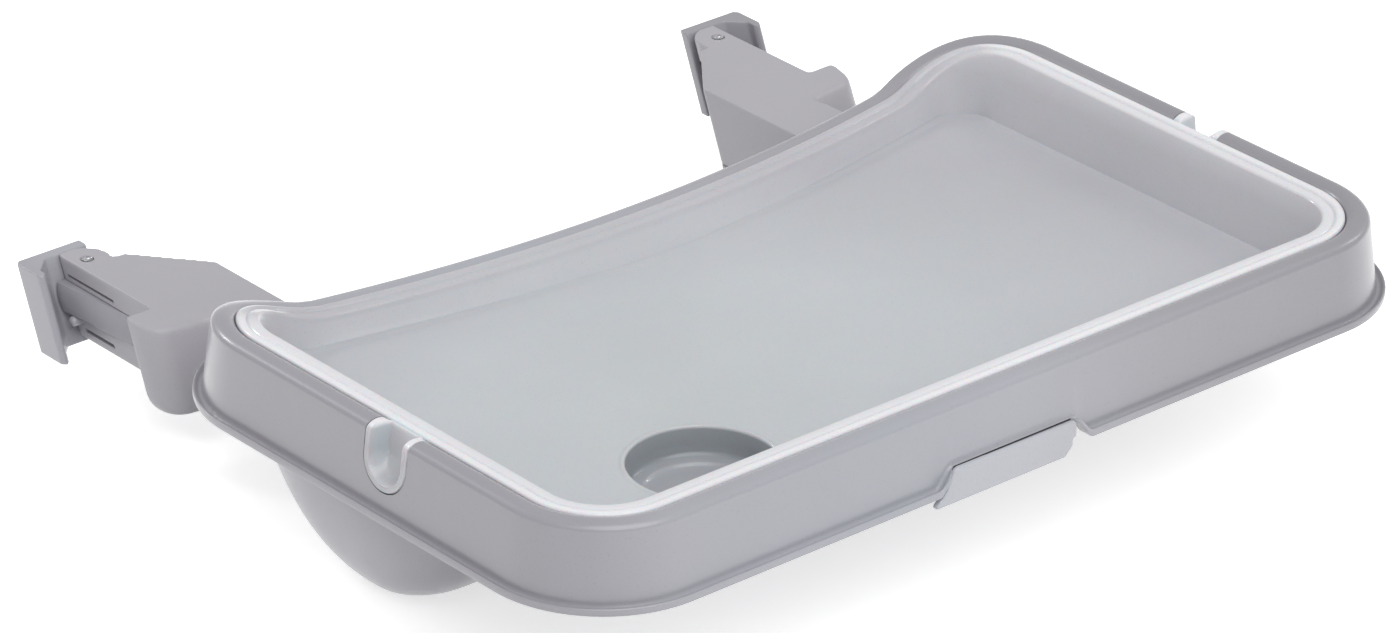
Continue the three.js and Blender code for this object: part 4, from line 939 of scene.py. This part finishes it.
def build_bar(side):
    """The draw bar: a straight bar with a jog, and a half-round slide that flares towards the clip.

    Its stations are the place along the arm, both faces' x and the outer face's bow.
    """
    s = -1 if side == "left" else 1
    bm = bmesh.new()
    stations = [(166, 157, 163.6, 1), (166.6, 157, 163.6, 1), (318, 157, 163.6, 1), (322, 162, 168.5, 1),
                (326, 168, 176, 1), (329, 171, 180.3, 1), (343, 171, 180.4, 1), (343.8, 171, 183.6, 1.5),
                (SLIDE_FRONT, 171, 184.3, 1.8)]
    for k in range(1, 9):
        t = k / 8
        stations.append((SLIDE_FRONT + 26.5 * t, 171, 184.3 + 3.2 * t, 1.8 + 2.5 * t))
    stations.append((SLIDE_REAR, 182.7, 187.6, 4.35))
    for k in range(1, 7):
        t = k / 6
        stations.append((SLIDE_REAR + 18.2 * t, 182.7, 187.6 + 2.2 * t, 4.35 + 1.75 * t))
    stations.append((390.9, 182.9, 189.4, 6.1))
    rings = []
    for y, x_in, x_out, bow in stations:
        bottom = SLIDE_BOTTOM if 343 < y < SLIDE_REAR else BAR_BOTTOM
        rings.append([leaning(s * x, y, depth) for x, depth in bar_section(x_in, x_out, bottom, bow)])
    loft(bm, rings)
    obj = make_object(f"{side}_slide", bm, f"{side}_release", "shell", [f"{side}_draw_bar"], 40)
    # The slide takes the darker copy of the plastic, painted shade for its place in the window.
    obj.data.materials[0] = slide_shaded_mat
    return obj


for side in ("left", "right"):
    build_arm(side)
    build_peg(side)
    build_cover(side)
    hook = soften(copy_of(f"{side}_clip", f"{side}_clip_hook"), voxel=0.55, rounds=3, even_rounds=8)
    finish_mesh(hook, f"{side}_hook", "shell", [f"{side}_clip"], 180)


TAB_FACE = -18.79
TAB_PLATE_SPAN = (-18.7, -16.6)
TAB_PLATE = [(-46.2, -31.5), (24.2, -31.5), (24.2, -25.2), (22.8, -23.8), (-40.6, -23.4), (-42.4, -24.4),
             (-45.4, -29.6)]


def build_tab():
    """The pull tab, its plate carried up to the groove over the flange."""
    obj = copy_of("pull_tab", "pull_tab_plate")
    bm = bmesh.new()
    loft(bm, [[(x, y, z) for x, z in TAB_PLATE] for y in TAB_PLATE_SPAN])
    combine(obj, plain_object("plate", bm), "UNION")
    soften(obj, voxel=0.5, rounds=2, even_rounds=6)
    for vert in obj.data.vertices:
        vert.co.y = max(vert.co.y, (TAB_FACE + DY) / 1000)
    finish_mesh(obj, "tab", "shell", ["pull_tab"], 180)
    obj.data.materials[0] = pale_mat


build_tab()


GRIP_IN, GRIP_OUT, GRIP_FRONT, GRIP_REAR = 151, 217.6, 100, 231.5
GRIP_TOP, GRIP_DEPTH, GRIP_SWEEP = -37.5, 57.5, 33.6
GRIP_SIDE_CURVE, GRIP_PLAN_CURVE = 2.8, 2.6
# Boxes in a grip as x0, x1, y0, y1 and two heights: the arm's room and the stem up to the draw bar
ARM_ROOM = (145, 168.3, 94, 238), (-78.9, 0), "DIFFERENCE"
STEM = (157, 163.6, 180, 204), (-82, -61.8), "UNION"


def build_grip(side):
    """The release grip: a deep rounded body under the pan, with room for the arm and a stem to the bar."""
    s = -1 if side == "left" else 1
    rings = []
    count, steps = (44, 96) if FINE else (20, 48)
    mid_y, mid_x = (GRIP_FRONT + GRIP_REAR) / 2, (GRIP_IN + GRIP_OUT) / 2
    for r in range(count + 1):
        t = math.sin(r / count * math.pi / 2)
        swell = max((1 - t ** GRIP_SIDE_CURVE) ** (1 / GRIP_SIDE_CURVE), 0.3 / GRIP_DEPTH)
        outer = mid_x + (GRIP_OUT - mid_x) * swell
        front = mid_y - (mid_y - GRIP_FRONT) * swell
        rear = mid_y + (GRIP_REAR - mid_y) * swell - GRIP_SWEEP * t
        ring = []
        for a in angles(steps):
            c, v = math.cos(a), math.sin(a)
            x = math.copysign(abs(c) ** (2 / GRIP_PLAN_CURVE), c)
            y = math.copysign(abs(v) ** (2 / GRIP_PLAN_CURVE), v)
            ring.append((s * ((outer + GRIP_IN) / 2 + x * (outer - GRIP_IN) / 2),
                         (rear + front) / 2 + y * (rear - front) / 2, GRIP_TOP - GRIP_DEPTH * t))
        rings.append(ring)
    bm = bmesh.new()
    loft(bm, rings)
    grip = plain_object(f"{side}_grip_shell", bm)
    for sides, heights, operation in (ARM_ROOM, STEM):
        bm = bmesh.new()
        loft(bm, [[(s * x, y, z) for x, y in box_outline(*sides)] for z in heights])
        combine(grip, plain_object("solid", bm), operation)
    finish_mesh(grip, f"{side}_release", "shell", [f"{side}_grip"], 34)
    grip.data.materials[0] = pale_mat


for side in ("left", "right"):
    build_bar(side)
    build_grip(side)


# Springs, screws, pins and the small moulded pieces
def coil(node, name, body, start, end, radius, wire, turns):
    """A helical spring between two points, in the place of its plain sleeve."""
    axis = (end - start).normalized()
    first = axis.orthogonal().normalized()
    second = axis.cross(first)
    length = (end - start).length
    bm = bmesh.new()
    rings = []
    steps = turns * 18
    for k in range(steps + 1):
        t = k / steps
        a = 2 * math.pi * turns * t
        out = first * math.cos(a) + second * math.sin(a)
        centre = start + axis * (wire + (length - 2 * wire) * t) + out * (radius - wire)
        rings.append([bm.verts.new(centre + (out * math.cos(b) + axis * math.sin(b)) * wire)
                      for b in angles(8)])
    for a, b in zip(rings, rings[1:]):
        for j in range(8):
            bm.faces.new((a[j], a[(j + 1) % 8], b[(j + 1) % 8], b[j]))
    cap(bm, rings)
    return make_object(name, bm, body, "steel", [node], 60)


def push_spring(node, name, body, radius, turns):
    """A spring along y between a fixed seat at its front and a moving face, which presses it together."""
    low, high = (Vector(c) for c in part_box(node))
    mid = (low + high) / 2
    seat = Vector((mid.x, low.y, mid.z))
    obj = coil(node, name, body, seat, Vector((mid.x, high.y, mid.z)), radius, wire=0.0005, turns=turns)
    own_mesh(obj)


push_spring("tab_spring", "tab_coil", "tray", radius=0.0028, turns=14)
for side in ("left", "right"):
    push_spring(f"{side}_grip_spring", f"{side}_grip_coil", "carrier",
                radius=0.0032, turns=10)
    low, high = (Vector(c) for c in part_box(f"{side}_clip_spring"))
    mid = (low + high) / 2
    pin = Vector((0, math.sin(LEAN), math.cos(LEAN)))
    reach = pin * 0.0013
    coil(f"{side}_clip_spring", f"{side}_clip_coil", "carrier", mid + reach, mid - reach,
         radius=0.0044, wire=0.0004, turns=3)


PITCH, THREAD_CREST, THREAD_ROOT = 0.0008, 0.0012, 0.00092
CROSS_HALF, CROSS_SLOT, CROSS_DEPTH = 0.0015, 0.0003, 0.0011


def screw(node, name, body, up):
    """A pan head with a cross recess, on a threaded shank."""
    low, high = (Vector(c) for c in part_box(node))
    mid = (low + high) / 2
    half = (high - low) / 2
    reach = max(abs(half.dot(up)), 0.001)
    first = up.orthogonal().normalized()
    if abs(up.z) < 0.5:
        first = Vector((0, 0, 1))
    second = up.cross(first)
    foot = mid - up * reach
    length = 2 * reach
    profile = [(0.0004, 0.0), (0.0018, 0.00012), (0.0025, 0.0006), (0.00278, 0.0012), (0.00275, 0.0018),
               (THREAD_CREST, 0.0018)]
    for k in range(int((length - 0.0024) / PITCH)):
        at = 0.0022 + k * PITCH
        profile += [(THREAD_ROOT, at), (THREAD_CREST, at + PITCH / 2)]
    profile += [(0.0009, length - 0.0003), (0.0002, length)]
    bm = bmesh.new()
    rings = []
    for r, t in profile:
        rings.append([bm.verts.new(foot + up * t + (first * math.cos(a) + second * math.sin(a)) * r)
                      for a in angles(24)])
    bridge(bm, rings)
    cap(bm, rings)
    obj = plain_object(name, bm)
    cross = box_outline(-CROSS_HALF, CROSS_HALF, -CROSS_SLOT, CROSS_SLOT)
    for u, v in ((first, second), (second, first)):
        bm = bmesh.new()
        rows = [[bm.verts.new(foot + up * t + u * p + v * q) for p, q in cross]
                for t in (-0.0004, CROSS_DEPTH)]
        bridge(bm, rows)
        cap(bm, rows)
        combine(obj, plain_object("recess", bm), "DIFFERENCE")
    return finish_mesh(obj, body, "steel", [node], 35)


UP = Vector((0, 0, 1))
for k in range(1, 5):
    screw(f"rail_screw_{k}", f"rail_fixing_{k}", "tray", UP)
    screw(f"cover_screw_{k}", f"cover_fixing_{k}", "carrier", UP)
    out = Vector((-1, 0, 0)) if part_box(f"crossbar_screw_{k}")[0][0] > 0 else Vector((1, 0, 0))
    screw(f"crossbar_screw_{k}", f"crossbar_fixing_{k}", "carrier", out)
for k in range(1, 7):
    screw(f"guide_screw_{k}", f"guide_fixing_{k}", "tray", UP)

for side in ("left", "right"):
    bevelled(f"{side}_rail", f"{side}_rail_block", "tray", "inner", width=0.5)
    bevelled(f"{side}_bolt_guide", f"{side}_guide_block", "tray", "inner", width=0.5)
    bevelled(f"{side}_bolt", f"{side}_bolt_bar", f"{side}_lock", "inner", width=0.6)
    bevelled(f"{side}_clip_pin", f"{side}_hinge_pin", "carrier", "steel", width=0.35)
bevelled("tab_guide", "tab_guide_block", "tray", "inner", width=0.5)
bevelled("crossbar", "cross_tie", "carrier", "inner", width=0.8)


# CAD nodes that stay get the same materials
for part in frame["record"]["subparts"]:
    obj = frame["nodes"][part["node"]]
    mat = MATS[part["material_slot"]]
    if obj.material_slots:
        for s in obj.material_slots:
            s.material = mat
    else:
        obj.data.materials.append(mat)


# Floor, lights and world
FLOOR_HALF, FLOOR_GAP = 6.0, 0.0005
FLOOR_GLOW, SKY_LIGHT = 0.62, 0.52


def add_floor():
    """A pale floor that keeps its shadow and shows white to the camera, and in glossy and clear things."""
    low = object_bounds()[0][2]
    bm = bmesh.new()
    for x, y in box_outline(-FLOOR_HALF, FLOOR_HALF, -FLOOR_HALF, FLOOR_HALF):
        bm.verts.new((x, y, low - FLOOR_GAP))
    bm.verts.ensure_lookup_table()
    bm.faces.new(bm.verts)
    mesh = bpy.data.meshes.new("floor")
    bm.to_mesh(mesh)
    bm.free()
    floor = bpy.data.objects.new("floor", mesh)
    bpy.context.scene.collection.objects.link(floor)
    mat, tree, bsdf = new_material("floor_white")
    bsdf.inputs["Base Color"].default_value = (0.86, 0.86, 0.86, 1)
    bsdf.inputs["Roughness"].default_value = 0.9
    bsdf.inputs["Specular IOR Level"].default_value = 0.1
    path = tree.nodes.new("ShaderNodeLightPath")
    glow = add(tree, "ShaderNodeEmission", Color=(1, 1, 1, 1), Strength=FLOOR_GLOW)
    both = tree.nodes.new("ShaderNodeAddShader")
    pick = tree.nodes.new("ShaderNodeMixShader")
    seen = tree.nodes.new("ShaderNodeMath")
    seen.operation = "MAXIMUM"
    either = tree.nodes.new("ShaderNodeMath")
    either.operation = "MAXIMUM"
    link = tree.links.new
    link(path.outputs["Is Camera Ray"], seen.inputs[0])
    link(path.outputs["Is Glossy Ray"], seen.inputs[1])
    link(seen.outputs["Value"], either.inputs[0])
    link(path.outputs["Is Transmission Ray"], either.inputs[1])
    link(bsdf.outputs["BSDF"], both.inputs[0])
    link(glow.outputs["Emission"], both.inputs[1])
    link(either.outputs["Value"], pick.inputs["Fac"])
    link(bsdf.outputs["BSDF"], pick.inputs[1])
    link(both.outputs["Shader"], pick.inputs[2])
    out = next(n for n in tree.nodes if n.type == "OUTPUT_MATERIAL")
    link(pick.outputs["Shader"], out.inputs["Surface"])
    mesh.materials.append(mat)


def aimed(obj, direction):
    obj.rotation_euler = Vector(direction).to_track_quat("-Z", "Y").to_euler()
    bpy.context.scene.collection.objects.link(obj)


def add_sun(name, direction, strength, angle):
    data = bpy.data.lights.new(name, "SUN")
    data.energy = strength
    data.angle = math.radians(angle)
    aimed(bpy.data.objects.new(name, data), direction)


def add_panel(name, place, aim, size, power):
    data = bpy.data.lights.new(name, "AREA")
    data.shape = "RECTANGLE"
    data.size, data.size_y = size
    data.energy = power
    obj = bpy.data.objects.new(name, data)
    obj.location = place
    aimed(obj, Vector(aim) - Vector(place))


add_floor()
add_sun("key_sun", (0.1, 0.45, -0.7), strength=1.55, angle=55)
add_panel("left_panel", (-1.6, -0.9, 1.5), (0, -0.2, 0), (0.7, 0.7), power=1.5)
add_panel("rear_panel", (-0.45, 1.5, 1.15), (-0.2, -0.05, 0.05), (0.25, 0.25), power=6)
add_panel("right_strip", (1.9, -0.35, 1.25), (-0.1, -0.15, 0), (0.05, 0.6), power=3)

sky = bpy.data.worlds.new("sky")
bpy.context.scene.world = sky
sky.use_nodes = True
tree = sky.node_tree
back = tree.nodes["Background"]
back.inputs["Color"].default_value = (1, 1, 1, 1)
back.inputs["Strength"].default_value = SKY_LIGHT
seen = add(tree, "ShaderNodeBackground", Color=(1, 1, 1, 1), Strength=1.0)
path = tree.nodes.new("ShaderNodeLightPath")
pick = tree.nodes.new("ShaderNodeMixShader")
tree.links.new(path.outputs["Is Camera Ray"], pick.inputs["Fac"])
tree.links.new(back.outputs["Background"], pick.inputs[1])
tree.links.new(seen.outputs["Background"], pick.inputs[2])
tree.links.new(pick.outputs["Shader"], tree.nodes["World Output"].inputs["Surface"])

bpy.context.scene.view_settings.view_transform = "Standard"
